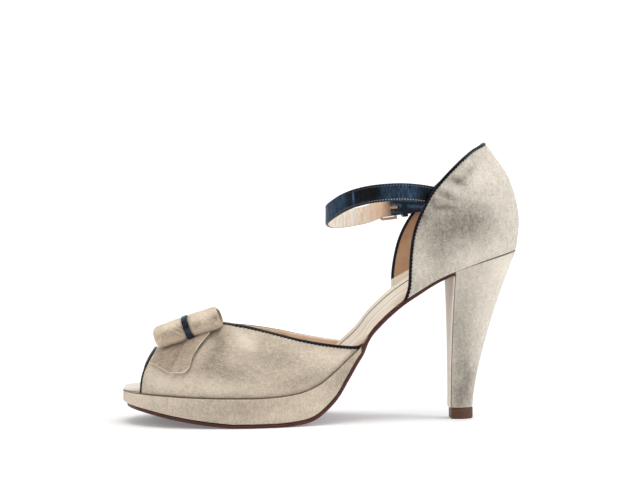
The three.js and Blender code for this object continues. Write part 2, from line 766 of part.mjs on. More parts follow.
// Heel breast: a thin leather strip on the flat front of the heel
function breastRing(t) {
  const [x, lateral, z] = heelPoint(heelEdge, t);
  const medial = heelPoint(-heelEdge, t)[1];
  const [back, front] = [x - GAP, x - GAP - BREAST_THICKNESS];
  return [
    [back, medial + BREAST_INSET, z],
    [back, lateral - BREAST_INSET, z],
    [front, lateral - 2 * BREAST_INSET, z],
    [front, medial + 2 * BREAST_INSET, z],
  ];
}
const breastLevels = [0.035, ...heelLevels.slice(2)];
add("heel_breast", loft(breastLevels.map(breastRing)), BREAST_LEATHER, 0.7);

// Top piece under the heel, a little proud of it, its lower edge worn round
function tipRing(z, proud) {
  const middle = tipBack - TIP_LENGTH / 2;
  const grow = 1 + proud / (TIP_LENGTH / 2);
  return heelTurns.map((w) => {
    const [x, y] = heelPoint(w, 1);
    return [middle + (x - middle) * grow, y * grow, z];
  });
}
const tipRings = [tipRing(0, -TIP_PROUD), tipRing(0.5, TIP_PROUD), tipRing(TIP_HEIGHT - GAP, TIP_PROUD)];
add("heel_tip", loft(tipRings), SOLE_LEATHER, 0.5);

// Ankle strap: centre line from inside the medial counter round the front to the lateral side
const STRAP = [
  { at: 0.804, aside: -0.268, height: 1.575 },
  { at: 0.772, aside: -0.272, height: 1.594 },
  { at: 0.737, aside: -0.286, height: 1.609 },
  { at: 0.697, aside: -0.298, height: 1.617 },
  { at: 0.652, aside: -0.297, height: 1.612 },
  { at: 0.607, aside: -0.264, height: 1.594 },
  { at: 0.567, aside: -0.203, height: 1.56 },
  { at: 0.534, aside: -0.11, height: 1.505 },
  { at: 0.516, aside: 0.0, height: 1.449 },
  { at: 0.529, aside: 0.103, height: 1.416 },
  { at: 0.563, aside: 0.192, height: 1.413 },
  { at: 0.607, aside: 0.256, height: 1.435 },
  { at: 0.627, aside: 0.272, height: 1.453 },
];
const strapLine = STRAP.map(
  ({ at, aside, height }) =>
    new THREE.Vector3(along(at), aside * BALL_WIDTH, height * SEAT_RISE),
);

// Buckle, in its own frame: u runs back along the strap, v points outward and w up its width
const buckle = new THREE.Group();
const BUCKLE_AT = 0.7;
const BUCKLE_HEIGHT_AT = 1.505;
const BUCKLE_ASIDE = 0.309;
const BUCKLE_YAW = THREE.MathUtils.degToRad(1);
const BUCKLE_PITCH = THREE.MathUtils.degToRad(-7);
buckle.position.set(along(BUCKLE_AT), BUCKLE_ASIDE * BALL_WIDTH, BUCKLE_HEIGHT_AT * SEAT_RISE);
buckle.rotation.set(0, BUCKLE_PITCH, BUCKLE_YAW, "ZYX");
buckle.updateMatrixWorld(true);
shoe.add(buckle);
const fromBuckle = (u, v, w) => new THREE.Vector3(u, v, w).applyMatrix4(buckle.matrixWorld);

const barRadius = BUCKLE_WIRE / 2;
const foldRadius = barRadius + GAP + BUCKLE_STRAP_THICKNESS;
const underBar = barRadius + GAP + STRAP_THICKNESS / 2;
const overFold = foldRadius + GAP + STRAP_THICKNESS / 2;
strapLine.push(
  fromBuckle(-BUCKLE_LENGTH - 1.5, -underBar - 0.4, -0.8),
  fromBuckle(-0.82 * BUCKLE_LENGTH, -underBar - 0.35, 0),
  fromBuckle(-0.3 * BUCKLE_LENGTH, 0.66 * overFold, 0),
  fromBuckle(0, overFold + 0.2, 0),
  fromBuckle(0.33 * STRAP_END_REACH, overFold + 0.1, 0),
  fromBuckle(0.67 * STRAP_END_REACH, overFold, 0),
  fromBuckle(STRAP_END_REACH, overFold, 0),
);
const strapCurve = new THREE.CatmullRomCurve3(strapLine, false, "centripetal");
const upright = new THREE.Vector3(0, 0, 1);
const acrossStrap = upright.clone().applyQuaternion(buckle.quaternion);
function strapRing(t, width = STRAP_WIDTH) {
  const spot = strapCurve.getPointAt(t);
  const ahead = strapCurve.getTangentAt(t);
  const standing = upright.clone().lerp(acrossStrap, THREE.MathUtils.smoothstep(t, 0.55, 0.7));
  const outward = standing.cross(ahead).normalize();
  const up = new THREE.Vector3().crossVectors(ahead, outward).normalize();
  const corner = (n, b) =>
    spot.clone().addScaledVector(outward, n).addScaledVector(up, b).toArray();
  const [half, thick] = [width / 2, STRAP_THICKNESS / 2];
  return [
    corner(-thick, -half),
    corner(thick, -half),
    corner(thick, half),
    corner(-thick, half),
  ];
}
const strapRings = range(54, 0, 0.975).map((t) => strapRing(t));
strapRings.push(strapRing(0.99, 0.8 * STRAP_WIDTH), strapRing(1, 0.4 * STRAP_WIDTH));
const slotWidth = PRONG_WIDTH + 2 * GAP;
const prongSlot = new THREE.BoxGeometry(0.95 * BUCKLE_LENGTH, STRAP_WIDTH, slotWidth);
prongSlot.translate(-0.22 * BUCKLE_LENGTH, 0, 0);
prongSlot.applyMatrix4(buckle.matrixWorld);
add("ankle_strap", cut(loft(strapRings), prongSlot), PATENT, 0.12);

// Extrudes an outline drawn in the buckle's u and v along its w, both ways from the middle
function acrossBuckle(shape, width, curveSegments = 10) {
  const body = new THREE.ExtrudeGeometry(shape, { depth: width, bevelEnabled: false, curveSegments });
  body.translate(0, 0, -width / 2);
  return body;
}

// Short strap stitched inside the lateral counter, its front end folded round the buckle's bar
const BUCKLE_STRAP_LENGTH = 19;
const FOLD_OVERLAP = 6;
const foldShape = new THREE.Shape();
foldShape.moveTo(BUCKLE_STRAP_LENGTH, -foldRadius);
foldShape.lineTo(BUCKLE_STRAP_LENGTH, -foldRadius + BUCKLE_STRAP_THICKNESS);
foldShape.lineTo(FOLD_OVERLAP + 0.5, -foldRadius + BUCKLE_STRAP_THICKNESS);
foldShape.lineTo(FOLD_OVERLAP, -foldRadius + 2 * BUCKLE_STRAP_THICKNESS);
foldShape.lineTo(0, foldRadius);
foldShape.absarc(0, 0, foldRadius, Math.PI / 2, (3 * Math.PI) / 2, false);
foldShape.closePath();
const barHole = new THREE.Path();
barHole.absarc(0, 0, barRadius * Math.SQRT2 + GAP, 0, 2 * Math.PI, true);
foldShape.holes.push(barHole);
const foldSlot = new THREE.BoxGeometry(2.4 * foldRadius, STRAP_WIDTH, slotWidth);
const buckleStrap = cut(acrossBuckle(foldShape, BUCKLE_STRAP_WIDTH), foldSlot);
add("buckle_strap", buckleStrap, PATENT, 0.15, 0, buckle);

// Buckle: a flat rounded frame, its back bar inside the fold
const frameShape = new THREE.Shape();
const [frameBack, frameFront] = [barRadius, -BUCKLE_LENGTH - barRadius + BUCKLE_WIRE];
const halfFrame = BUCKLE_HEIGHT / 2;
frameShape.moveTo(frameBack, -halfFrame);
frameShape.lineTo(frameBack, halfFrame);
frameShape.lineTo(frameFront + BUCKLE_ROUND, halfFrame);
frameShape.quadraticCurveTo(frameFront, halfFrame, frameFront, halfFrame - BUCKLE_ROUND);
frameShape.lineTo(frameFront, -halfFrame + BUCKLE_ROUND);
frameShape.quadraticCurveTo(frameFront, -halfFrame, frameFront + BUCKLE_ROUND, -halfFrame);
frameShape.closePath();
const frameHole = new THREE.Path();
frameHole.moveTo(frameBack - BUCKLE_WIRE, -halfFrame + BUCKLE_WIRE);
frameHole.lineTo(frameFront + BUCKLE_WIRE, -halfFrame + BUCKLE_WIRE);
frameHole.lineTo(frameFront + BUCKLE_WIRE, halfFrame - BUCKLE_WIRE);
frameHole.lineTo(frameBack - BUCKLE_WIRE, halfFrame - BUCKLE_WIRE);
frameHole.closePath();
frameShape.holes.push(frameHole);
const frameBody = new THREE.ExtrudeGeometry(frameShape, {
  depth: BUCKLE_WIRE,
  bevelEnabled: false,
  curveSegments: 4,
});
frameBody.translate(0, 0, -BUCKLE_WIRE / 2);
frameBody.rotateX(Math.PI / 2);
add("buckle", frameBody, METAL, 0.25, 1, buckle);

// Prong: turns on the back bar and lies over the front bar
const prongShape = new THREE.Shape();
const hug = barRadius * Math.SQRT2 + GAP;
const prongFront = frameFront - 0.4;
prongShape.moveTo(0, hug + PRONG_THICKNESS);
prongShape.lineTo(prongFront, barRadius + GAP + PRONG_THICKNESS);
prongShape.lineTo(prongFront, barRadius + GAP);
prongShape.lineTo(-hug, hug);
prongShape.absarc(0, 0, hug, Math.PI * 0.75, -Math.PI * 0.75, true);
prongShape.lineTo(-hug, -hug - 0.5 * PRONG_THICKNESS);
prongShape.lineTo(hug, -hug - 0.5 * PRONG_THICKNESS);
prongShape.absarc(0, 0, hug + PRONG_THICKNESS, -Math.PI * 0.3, Math.PI * 0.5, false);
prongShape.closePath();
add("buckle_prong", acrossBuckle(prongShape, PRONG_WIDTH, 8), METAL, 0.25, 1, buckle);

// Keeper loop round both straps behind the buckle
const KEEPER_AT = 5.6;
const keeperIn = -foldRadius - GAP;
const keeperOut = overFold + 0.2 + STRAP_THICKNESS / 2 + GAP;
const keeperHalf = STRAP_WIDTH / 2 + GAP;
const keeperShape = new THREE.Shape();
const keeperRect = (path, grow) => {
  path.moveTo(keeperIn - grow, -keeperHalf - grow);
  path.lineTo(keeperOut + grow, -keeperHalf - grow);
  path.lineTo(keeperOut + grow, keeperHalf + grow);
  path.lineTo(keeperIn - grow, keeperHalf + grow);
  path.closePath();
};
keeperRect(keeperShape, KEEPER_WALL);
const keeperHole = new THREE.Path();
keeperRect(keeperHole, 0);
keeperShape.holes.push(keeperHole);
const keeperBody = new THREE.ExtrudeGeometry(keeperShape, { depth: KEEPER_WIDTH, bevelEnabled: false });
keeperBody.applyMatrix4(
  new THREE.Matrix4().makeBasis(
    new THREE.Vector3(0, 1, 0),
    new THREE.Vector3(0, 0, 1),
    new THREE.Vector3(1, 0, 0),
  ),
);
keeperBody.translate(KEEPER_AT - KEEPER_WIDTH / 2, 0, 0);
add("strap_keeper", keeperBody, PATENT, 0.15, 0, buckle);

// Bow: a suede tube laid lengthwise beside the ridge, open at both ends and pinched by its band
const BOW_START = { at: 0.087, aside: -0.15, lift: 1.056 };
const BOW_END = { at: 0.24, aside: -0.21, lift: 1.326 };
const bowPoint = ({ at, aside, lift }) =>
  new THREE.Vector3(along(at), aside * BALL_WIDTH, lift * INSTEP_HEIGHT);
const bowMiddle = bowPoint(BOW_START).add(bowPoint(BOW_END)).multiplyScalar(0.5);
const bowAlong = bowPoint(BOW_END).sub(bowPoint(BOW_START)).normalize();
const bowOut = new THREE.Vector3().crossVectors(new THREE.Vector3(0, 0, 1), bowAlong).normalize();
const bowUp = new THREE.Vector3().crossVectors(bowAlong, bowOut).normalize();
function bowSpot(a, angle, grow, pinch) {
  const across = BOW_DEPTH / 2 + grow;
  const tall = BOW_HEIGHT / 2 + grow;
  return bowMiddle
    .clone()
    .addScaledVector(bowAlong, a)
    .addScaledVector(bowOut, Math.cos(angle) * (across - pinch * 0.5))
    .addScaledVector(bowUp, Math.sin(angle) * (tall - pinch))
    .toArray();
}
const bowPinch = (a) => BOW_PINCH * Math.exp(-((a / 5) ** 2));
const bowAngles = range(BOW_SIDES - 1, 0, 2 * Math.PI * (1 - 1 / BOW_SIDES));
const bowPlaces = stations(-BOW_LENGTH / 2, BOW_LENGTH / 2, 14, true, true);
function bowTube(grow) {
  return bowPlaces.map((a, i) => {
    const end = i === 0 || i === bowPlaces.length - 1 ? 0.25 : 0;
    const inset = grow < 0 ? grow + end : grow - end;
    return bowAngles.map((angle) => bowSpot(a, angle, inset, bowPinch(a)));
  });
}
add("bow_roll", closedSheet(bowTube(0), bowTube(-BOW_WALL), true), SUEDE, 0.95);

const bandPlaces = [-0.5, -0.3, 0.3, 0.5].map((part) => part * BAND_WIDTH);
function bandTube(grow, crown) {
  return bandPlaces.map((a, i) => {
    const rise = i === 1 || i === 2 ? crown : 0;
    return bowAngles.map((angle) => bowSpot(a, angle, grow + rise, BOW_PINCH));
  });
}
add("bow_band", closedSheet(bandTube(GAP + BAND_THICKNESS, 0.2), bandTube(GAP, 0), true), PATENT, 0.12);

// Tails of the bow: suede strips that lie on the medial side of the vamp, one over the other
const TAIL_FRONT = {
  lift: TAIL_LIFT,
  corners: [
    { at: 0.112, turn: 1.12 },
    { at: 0.17, turn: 1.15 },
    { at: 0.117, turn: 0.46 },
    { at: 0.066, turn: 0.82 },
  ],
};
const TAIL_BACK = {
  lift: TAIL_LIFT + TAIL_THICKNESS + GAP,
  corners: [
    { at: 0.163, turn: 1.1 },
    { at: 0.221, turn: 1.05 },
    { at: 0.169, turn: 0.415 },
    { at: 0.122, turn: 0.44 },
  ],
};
function tail({ lift, corners }) {
  const [a, b, c, d] = corners;
  const mix = (s, t, key) =>
    (a[key] * (1 - s) + b[key] * s) * (1 - t) + (d[key] * (1 - s) + c[key] * s) * t;
  const skinAt = (distance) =>
    range(5).map((s) =>
      range(8).map((t) => vampOff(along(mix(s, t, "at")), mix(s, t, "turn"), distance)),
    );
  return closedSheet(skinAt(lift + TAIL_THICKNESS), skinAt(lift));
}
add("bow_tail_front", tail(TAIL_FRONT), SUEDE, 0.95);
add("bow_tail_back", tail(TAIL_BACK), SUEDE, 0.95);

export default shoe;
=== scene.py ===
# Looks of a woman's right peep-toe sandal: suede, navy patent trim, leather sole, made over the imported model.
# Metres in the scene; the shape functions work in millimetres in the same frame as the model.
import math

import bpy
import numpy as np
from mathutils import Matrix, Vector


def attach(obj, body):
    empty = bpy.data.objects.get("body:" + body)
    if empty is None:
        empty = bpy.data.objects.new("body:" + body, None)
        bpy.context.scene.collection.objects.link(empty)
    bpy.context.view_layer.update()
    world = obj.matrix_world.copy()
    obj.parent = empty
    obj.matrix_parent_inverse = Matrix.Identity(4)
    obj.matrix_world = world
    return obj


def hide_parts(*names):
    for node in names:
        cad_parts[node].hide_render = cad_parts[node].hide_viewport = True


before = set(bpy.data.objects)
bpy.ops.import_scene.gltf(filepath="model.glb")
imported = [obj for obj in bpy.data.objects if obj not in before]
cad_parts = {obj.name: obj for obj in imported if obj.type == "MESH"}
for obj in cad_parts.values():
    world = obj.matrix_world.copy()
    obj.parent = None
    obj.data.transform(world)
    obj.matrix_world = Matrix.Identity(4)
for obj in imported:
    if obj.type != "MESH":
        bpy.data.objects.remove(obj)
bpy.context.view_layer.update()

# Camera, floor and light. A studio sweep of pale seamless paper turns up into the wall behind the shoe.
# The camera stands level a metre off, on the inner side of the foot, shifted down by 50 of 640 pixels.
camera_data = bpy.data.cameras.new("camera")
camera_data.lens = 99.4
camera_data.sensor_width = 36
camera_data.shift_y = -50 / 640
camera = bpy.data.objects.new("camera", camera_data)
camera.location = (-0.0323, -1.0006, 0.13)
camera.rotation_euler = (math.radians(90), 0, math.radians(-4))
bpy.context.scene.collection.objects.link(camera)
bpy.context.scene.camera = camera
bpy.context.scene.view_settings.view_transform = "Standard"


def link(name, mesh, smooth_angle=None):
    """A mesh put into the scene, smooth but for edges sharper than the angle in degrees."""
    piece = bpy.data.objects.new(name, mesh)
    bpy.context.scene.collection.objects.link(piece)
    mesh.polygons.foreach_set("use_smooth", [True] * len(mesh.polygons))
    if smooth_angle:
        mesh.set_sharp_from_angle(angle=math.radians(smooth_angle))
    return piece


class Wire:
    """A socket of a node tree that sums can be written with."""

    def __init__(self, socket):
        self.socket = socket

    def make(self, kind, settings=None, inputs=None, out=0):
        tree = self.socket.id_data
        node = tree.nodes.new(kind)
        for key, value in (settings or {}).items():
            setattr(node, key, value)
        for key, value in (inputs or {}).items():
            if isinstance(value, Wire):
                tree.links.new(value.socket, node.inputs[key])
            else:
                node.inputs[key].default_value = value
        return Wire(node.outputs[out])

    def maths(self, operation, *others, clamp=False):
        settings = {"operation": operation, "use_clamp": clamp}
        return self.make("ShaderNodeMath", settings, dict(enumerate((self, *others))))

    def __add__(self, other):
        return self.maths("ADD", other)

    __radd__ = __add__

    def __sub__(self, other):
        return self.maths("SUBTRACT", other)

    def __rsub__(self, other):
        return (self * -1) + other

    def __mul__(self, other):
        return self.maths("MULTIPLY", other)

    __rmul__ = __mul__

    def step(self, low, high):
        """0 below low and 1 above high, smooth between."""
        inputs = {"Value": self, "From Min": low, "From Max": high}
        return self.make("ShaderNodeMapRange", {"interpolation_type": "SMOOTHSTEP"}, inputs)

    def mix(self, first, second):
        """Colour that goes from first to second as this wire goes from 0 to 1."""
        inputs = {0: self, 6: first, 7: second}
        return self.make("ShaderNodeMix", {"data_type": "RGBA"}, inputs, 2)

    def parts(self):
        """The x, y and z of this vector wire."""
        split = self.make("ShaderNodeSeparateXYZ", None, {0: self}).socket.node
        return [Wire(output) for output in split.outputs]

    def noise(self, scale, detail=2.0, rough=0.5, stretch=(1, 1, 1), curl=0.0):
        """Noise on this vector wire, its scale in waves a millimetre where the wire is in millimetres."""
        moved = self.make("ShaderNodeVectorMath", {"operation": "MULTIPLY"}, {0: self, 1: stretch})
        shape = {"Scale": scale, "Detail": detail, "Roughness": rough, "Distortion": curl}
        return self.make("ShaderNodeTexNoise", None, {"Vector": moved, **shape})

    def spots(self, rows, warp):
        """Sum of soft spots in side view, from rows of x, z, reach along, reach across, lean and depth."""
        x, _, z = self.parts()
        total = warp * 0.0
        for px, pz, reach_x, reach_z, lean, depth in rows:
            c, s = math.cos(math.radians(lean)), math.sin(math.radians(lean))
            wander = warp * min(1.0, min(reach_x, reach_z) / 8)
            across, up = x - px + wander, z - pz + wander * 0.7
            u = (across * c + up * s) * (1 / reach_x)
            v = (up * c - across * s) * (1 / reach_z)
            total = total + (u * u + v * v).maths("MULTIPLY", -1.0).maths("EXPONENT") * depth
        return total

    def bump(self, strength, distance, under=None):
        inputs = {"Height": self, "Strength": strength, "Distance": distance}
        if under:
            inputs["Normal"] = under
        return self.make("ShaderNodeBump", None, inputs)


def material(name, **constants):
    """A new material, its Principled node, and the place on the object in millimetres."""
    made = bpy.data.materials.new(name)
    made.use_nodes = True
    shader = made.node_tree.nodes["Principled BSDF"]
    for key, value in constants.items():
        shader.inputs[key.replace("_", " ")].default_value = value
    start = Wire(made.node_tree.nodes.new("ShaderNodeTexCoord").outputs["Object"])
    place = start.make("ShaderNodeVectorMath", {"operation": "SCALE"}, {0: start, "Scale": 1000.0})
    return made, shader, place


def feed(shader, **wires):
    """Wires led into the sockets of a shader that their names say."""
    for key, wire in wires.items():
        shader.id_data.links.new(wire.socket, shader.inputs[key.replace("_", " ")])


FLOOR_RUN = [(-1.6, 0.0), (0.9, 0.0), (1.15, 0.02), (1.32, 0.1), (1.42, 0.28), (1.46, 0.6), (1.47, 1.6)]
floor_mesh = bpy.data.meshes.new("floor")
floor_mesh.from_pydata(
    [(x, y, z) for y, z in FLOOR_RUN for x in (-3.0, 3.0)],
    [],
    [(2 * i, 2 * i + 1, 2 * i + 3, 2 * i + 2) for i in range(len(FLOOR_RUN) - 1)],
)
floor = link("studio_floor", floor_mesh)
# The paper glows as painted light: dimly near the shoe, so that its shadow shows, and full white towards the
# wall
floor_look, shader, place = material("floor paper", Base_Color=(0.93, 0.93, 0.935, 1), Emission_Strength=0.42)
_, behind, _ = place.parts()
feed(
    shader,
    Roughness=place.noise(0.02) * 0.1 + 0.8,
    Emission_Color=behind.step(300.0, 1250.0).mix((0.4, 0.4, 0.41, 1), (1, 1, 1, 1)),
)
floor_mesh.materials.append(floor_look)

LIGHTS = [
    # name, where it stands, what it is aimed at, size, watts, colour
    ("overhead", (0.05, -0.15, 1.2), (0.02, 0, 0.05), 1.0, 8.6, (1, 0.99, 0.97)),
    ("front_left", (-1.0, -1.0, 0.8), (0, 0, 0.07), 0.6, 2.6, (1, 0.985, 0.96)),
    ("back_right", (0.95, -0.1, 0.6), (0.08, 0, 0.07), 0.6, 5.2, (1, 1, 1)),
]
for name, stand, aim, size, watts, tint in LIGHTS:
    light = bpy.data.lights.new(name, "AREA")
    light.size = size
    light.energy = watts
    light.color = tint
    lamp = bpy.data.objects.new(name, light)
    lamp.location = stand
    lamp.rotation_euler = (Vector(aim) - Vector(stand)).to_track_quat("-Z", "Y").to_euler()
    bpy.context.scene.collection.objects.link(lamp)
world = bpy.data.worlds.new("studio")
world.use_nodes = True
background = world.node_tree.nodes["Background"]
background.inputs["Color"].default_value = (1, 1, 1, 1)
background.inputs["Strength"].default_value = 0.3
bpy.context.scene.world = world

# Platform. A block of cork under the forefoot with one strip of suede glued round its wall, pressed flat.
# It tapers to nothing at the waist, and its upper edge stands a little proud of the upper.
SHOE_LENGTH, BALL_WIDTH, BALL_HEIGHT, SEAT_RISE, TREAD_AT = 223, 78, 16, 79.7, 0.329
GAP, PLATFORM_EDGE, OUTSOLE_THICKNESS = 0.3, 0.9, 2.1
PLATFORM_BACK_AT = 0.594


def along(at):
    """x of a place given as a share of the shoe's length from the toe."""
    return (np.asarray(at) - TREAD_AT) * SHOE_LENGTH


def share(x):
    """The place of an x, as a share of the shoe's length from the toe."""
    return np.asarray(x) / SHOE_LENGTH + TREAD_AT


TOE, BACK = along(0), along(1)


def smooth(value, low, high):
    t = np.clip((value - low) / (high - low), 0, 1)
    return t * t * (3 - 2 * t)


def curve(rows, column=1):
    """A smooth curve through the rows of a table, from its first column to another one."""
    xs = np.array([row[0] for row in rows], float)
    ys = np.array([row[column] for row in rows], float)
    before = np.maximum(np.arange(len(xs)) - 1, 0)
    after = np.minimum(np.arange(len(xs)) + 1, len(xs) - 1)
    slope = (ys[after] - ys[before]) / (xs[after] - xs[before])

    def read(value):
        value = np.asarray(value, float)
        i = np.clip(np.searchsorted(xs, value) - 1, 0, len(xs) - 2)
        span = xs[i + 1] - xs[i]
        t = (value - xs[i]) / span
        s = t * t * (3 - 2 * t)
        bend = (1 - t) * slope[i] - t * slope[i + 1]
        inside = ys[i] + (ys[i + 1] - ys[i]) * s + t * (1 - t) * span * bend
        low = ys[i] + slope[i] * (value - xs[i])
        high = ys[i + 1] + slope[i + 1] * (value - xs[i + 1])
        return np.where(t < 0, low, np.where(t > 1, high, inside))

    return read


# Feather line: place along the shoe, rise over the ball as a share of SEAT_RISE
FEATHER = [
    (0.0, 0.03), (0.096, 0.023), (0.169, 0.016), (0.266, 0.011), (0.364, 0.013), (0.439, 0.036),
    (0.489, 0.09), (0.527, 0.17), (0.562, 0.26), (0.598, 0.355), (0.63, 0.472), (0.685, 0.617),
    (0.747, 0.736), (0.796, 0.815), (0.851, 0.879), (0.917, 0.942), (1.0, 1.004),
]
rise_at = curve(FEATHER)

# Half widths of the last's bottom: place, medial share and lateral share of BALL_WIDTH
PLAN = [
    (0.0, 0.494, 0.487), (0.302, 0.5, 0.5), (0.365, 0.475, 0.505), (0.437, 0.41, 0.475),
    (0.49, 0.355, 0.43), (0.54, 0.31, 0.385), (0.58, 0.287, 0.35), (0.63, 0.275, 0.32),
    (0.685, 0.278, 0.31), (0.747, 0.295, 0.31), (0.8, 0.31, 0.317), (0.86, 0.32, 0.325),
    (1.0, 0.32, 0.325),
]
plan_medial, plan_lateral = curve(PLAN, 1), curve(PLAN, 2)

# Underside of the outsole under the platform: place, height over the floor as a share of SEAT_RISE
UNDERSIDE = [
    (0.0, 0.121), (0.02, 0.109), (0.057, 0.09), (0.12, 0.056), (0.181, 0.029), (0.24, 0.009),
    (0.278, 0.0), (0.38, 0.0), (0.424, 0.007), (0.467, 0.028), (0.495, 0.07), (0.5345, 0.176),
    (0.5615, 0.296), (0.584, 0.403), (0.603, 0.488), (0.614, 0.562), (0.63, 0.656),
]
lift_at = curve(UNDERSIDE)


def feather(x):
    """Height of the feather line, where the last's side meets its bottom."""
    return BALL_HEIGHT + SEAT_RISE * rise_at(share(x))


TOE_ROUND, HEEL_ROUND = 0.28, 0.15  # shares of the length over which the plan closes at its ends


def half_width(x, side):
    """Half width of the last's bottom at x, on the medial (-1) or the lateral (1) side."""
    at = np.clip(share(x), 0, 1)
    toe = np.sqrt(1 - np.clip(1 - at / TOE_ROUND, 0, 1) ** 2.2)
    heel = np.sqrt(1 - np.clip(1 - (1 - at) / HEEL_ROUND, 0, 1) ** 2.3)
    return BALL_WIDTH * np.where(side < 0, plan_medial(at), plan_lateral(at)) * toe * heel


def steepness(height, x):
    """How much longer a sloping layer is than its run: what a thickness grows by in side view."""
    return np.hypot(1, height(x + 0.5) - height(x - 0.5))


TREAD_FROM, TREAD_TO = 0.278, 0.38


def platform_underside(x):
    at = share(x)
    flat = (at >= TREAD_FROM) & (at <= TREAD_TO)
    return np.where(flat, 0, np.maximum(SEAT_RISE * lift_at(at), 0))


def platform_low(x):
    return platform_underside(x) + OUTSOLE_THICKNESS * steepness(platform_underside, x)


def body(name, rings, zones=None, closed=False, crisp=50):
    """A closed mesh from rings of points in millimetres; zones gives each strip along them its material."""
    rings = np.asarray(rings, float)
    rows, count = rings.shape[:2]
    faces, slots, texture = [], [], []
    zones = zones or [0] * count
    around = np.linalg.norm(np.roll(rings, -1, 1) - rings, axis=2).mean(0).cumsum()
    around = np.concatenate([[0], around])
    onward = np.linalg.norm(np.diff(rings, axis=0), axis=2).mean(1).cumsum()
    onward = np.concatenate([[0], onward, [onward[-1] + 1]])
    for i in range(rows if closed else rows - 1):
        k = (i + 1) % rows
        for j in range(count):
            m = (j + 1) % count
            faces.append((i * count + j, i * count + m, k * count + m, k * count + j))
            slots.append(zones[j])
            texture += [
                (onward[i], around[j]), (onward[i], around[j + 1]),
                (onward[i + 1], around[j + 1]), (onward[i + 1], around[j]),
            ]
    if not closed:
        for start, turn in ((0, True), ((rows - 1) * count, False)):
            for j in range(count // 2 - 1):
                cap = [start + j, start + j + 1, start + count - 2 - j, start + count - 1 - j]
                faces.append(tuple(cap[::-1] if turn else cap))
                slots.append(zones[count - 1])
                texture += [(0, 0)] * 4
    points = rings.reshape(-1, 3) * 0.001
    corners = points[np.array(faces)]
    volume = np.einsum("ij,ij->i", corners[:, 0], np.cross(corners[:, 1], corners[:, 2])).sum()
    volume += np.einsum("ij,ij->i", corners[:, 0], np.cross(corners[:, 2], corners[:, 3])).sum()
    if volume < 0:
        faces = [face[::-1] for face in faces]
        texture = [texture[4 * i + j] for i in range(len(faces)) for j in (3, 2, 1, 0)]
    mesh = bpy.data.meshes.new(name)
    mesh.from_pydata(points.tolist(), [], faces)
    mesh.polygons.foreach_set("material_index", slots)
    mesh.uv_layers.new(name="UVMap").data.foreach_set("uv", np.array(texture).ravel())
    mesh.validate()
    return link(name, mesh, crisp)


def dress(piece, looks, node):
    """Materials of a piece, and its place in the frame: it stands for a CAD node."""
    for look in looks:
        piece.data.materials.append(look)
    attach(piece, "root")
    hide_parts(node)


def rounded(corners, radius, steps=4):
    """Outline with each corner cut by an arc of points; corners are pairs, in order."""
    made = []
    for i, here in enumerate(corners):
        here = np.array(here, float)
        back = np.array(corners[i - 1]) - here
        ahead = np.array(corners[(i + 1) % len(corners)]) - here
        reach = min(radius, 0.45 * np.linalg.norm(back), 0.45 * np.linalg.norm(ahead))
        start = here + back / np.linalg.norm(back) * reach
        end = here + ahead / np.linalg.norm(ahead) * reach
        for t in np.linspace(0, 1, steps):
            made.append((1 - t) ** 2 * start + 2 * t * (1 - t) * here + t * t * end)
    return np.array(made)


def spread(start, end, count, dense_start=True, dense_end=True):
    """Numbers from start to end that lie closer together at the dense ends."""
    t = np.linspace(0, 1, count)
    if dense_start and dense_end:
        t = (1 - np.cos(np.pi * t)) / 2
    elif dense_start:
        t = 1 - np.cos(np.pi / 2 * t)
    elif dense_end:
        t = np.sin(np.pi / 2 * t)
    return start + (end - start) * t


SUEDE_LIGHT, SUEDE_DARK = (0.86, 0.742, 0.597, 1), (0.21, 0.157, 0.108, 1)
SUEDE_PALE, SUEDE_GREY = (0.85, 0.785, 0.68, 1), (0.19, 0.165, 0.135, 1)


def suede(
    name, painted_light, brushing, mottle, grain=1.0, light=SUEDE_LIGHT, dark=SUEDE_DARK, streaks=(0.2, 1, 1)
):
    """Sueded leather: a cloudy mottle of brushed nap, with soft spots of painted light and shade in millimetres
    of the side view.

    Brushing and streaks stretch the cloudy mottle and the fine brush marks along x, y and z.
    """
    look, shader, place = material(name, Specular_IOR_Level=0.2, Sheen_Weight=0.22, Sheen_Roughness=0.5)
    shader.inputs["Sheen Tint"].default_value = (1, 0.96, 0.9, 1)
    tone = (place.noise(0.05, 3.0, 0.62, brushing) - 0.5) * (0.5 * mottle)
    tone = tone + (place.noise(0.2, 3.0, 0.6, brushing, 0.6) - 0.5) * (0.34 * mottle)
    tone = tone + place.spots(painted_light, place.noise(0.09, 3.0) * 8.0 - 4.0)
    brushed = place.noise(0.9, 2.0, 0.6, streaks, 0.3)
    curls = ((place.noise(0.33, 3.0, 0.6, (1, 1, 1), 1.6) - 0.5).maths("ABSOLUTE")).step(0.07, 0.0)
    clumps = place.noise(0.62, 3.0, 0.75, (1, 1, 1), 0.8)
    fine = place.noise(1.4, 3.0, 0.75)
    fuzz = place.noise(3.6, 2.0, 0.7)
    tone = tone + (clumps - 0.5) * (0.7 * grain) + (fine - 0.5) * (0.7 * grain)
    tone = tone + (fuzz - 0.5) * (0.3 * grain)
    tone = tone + (brushed - 0.5) * (0.42 * grain) + curls * (0.13 * grain) - 0.03
    color = (tone + 0.64).maths("ADD", 0.0, clamp=True).mix(dark, light)
    soft = (clumps * 0.5 + curls * 0.35 + brushed * 0.3).bump(0.55 * grain, 0.0006)
    nap = (fine * 0.6 + fuzz * 0.4).bump(0.6 * grain, 0.00025, soft)
    feed(shader, Base_Color=color, Roughness=fine * 0.12 + 0.84, Normal=nap)
    return look


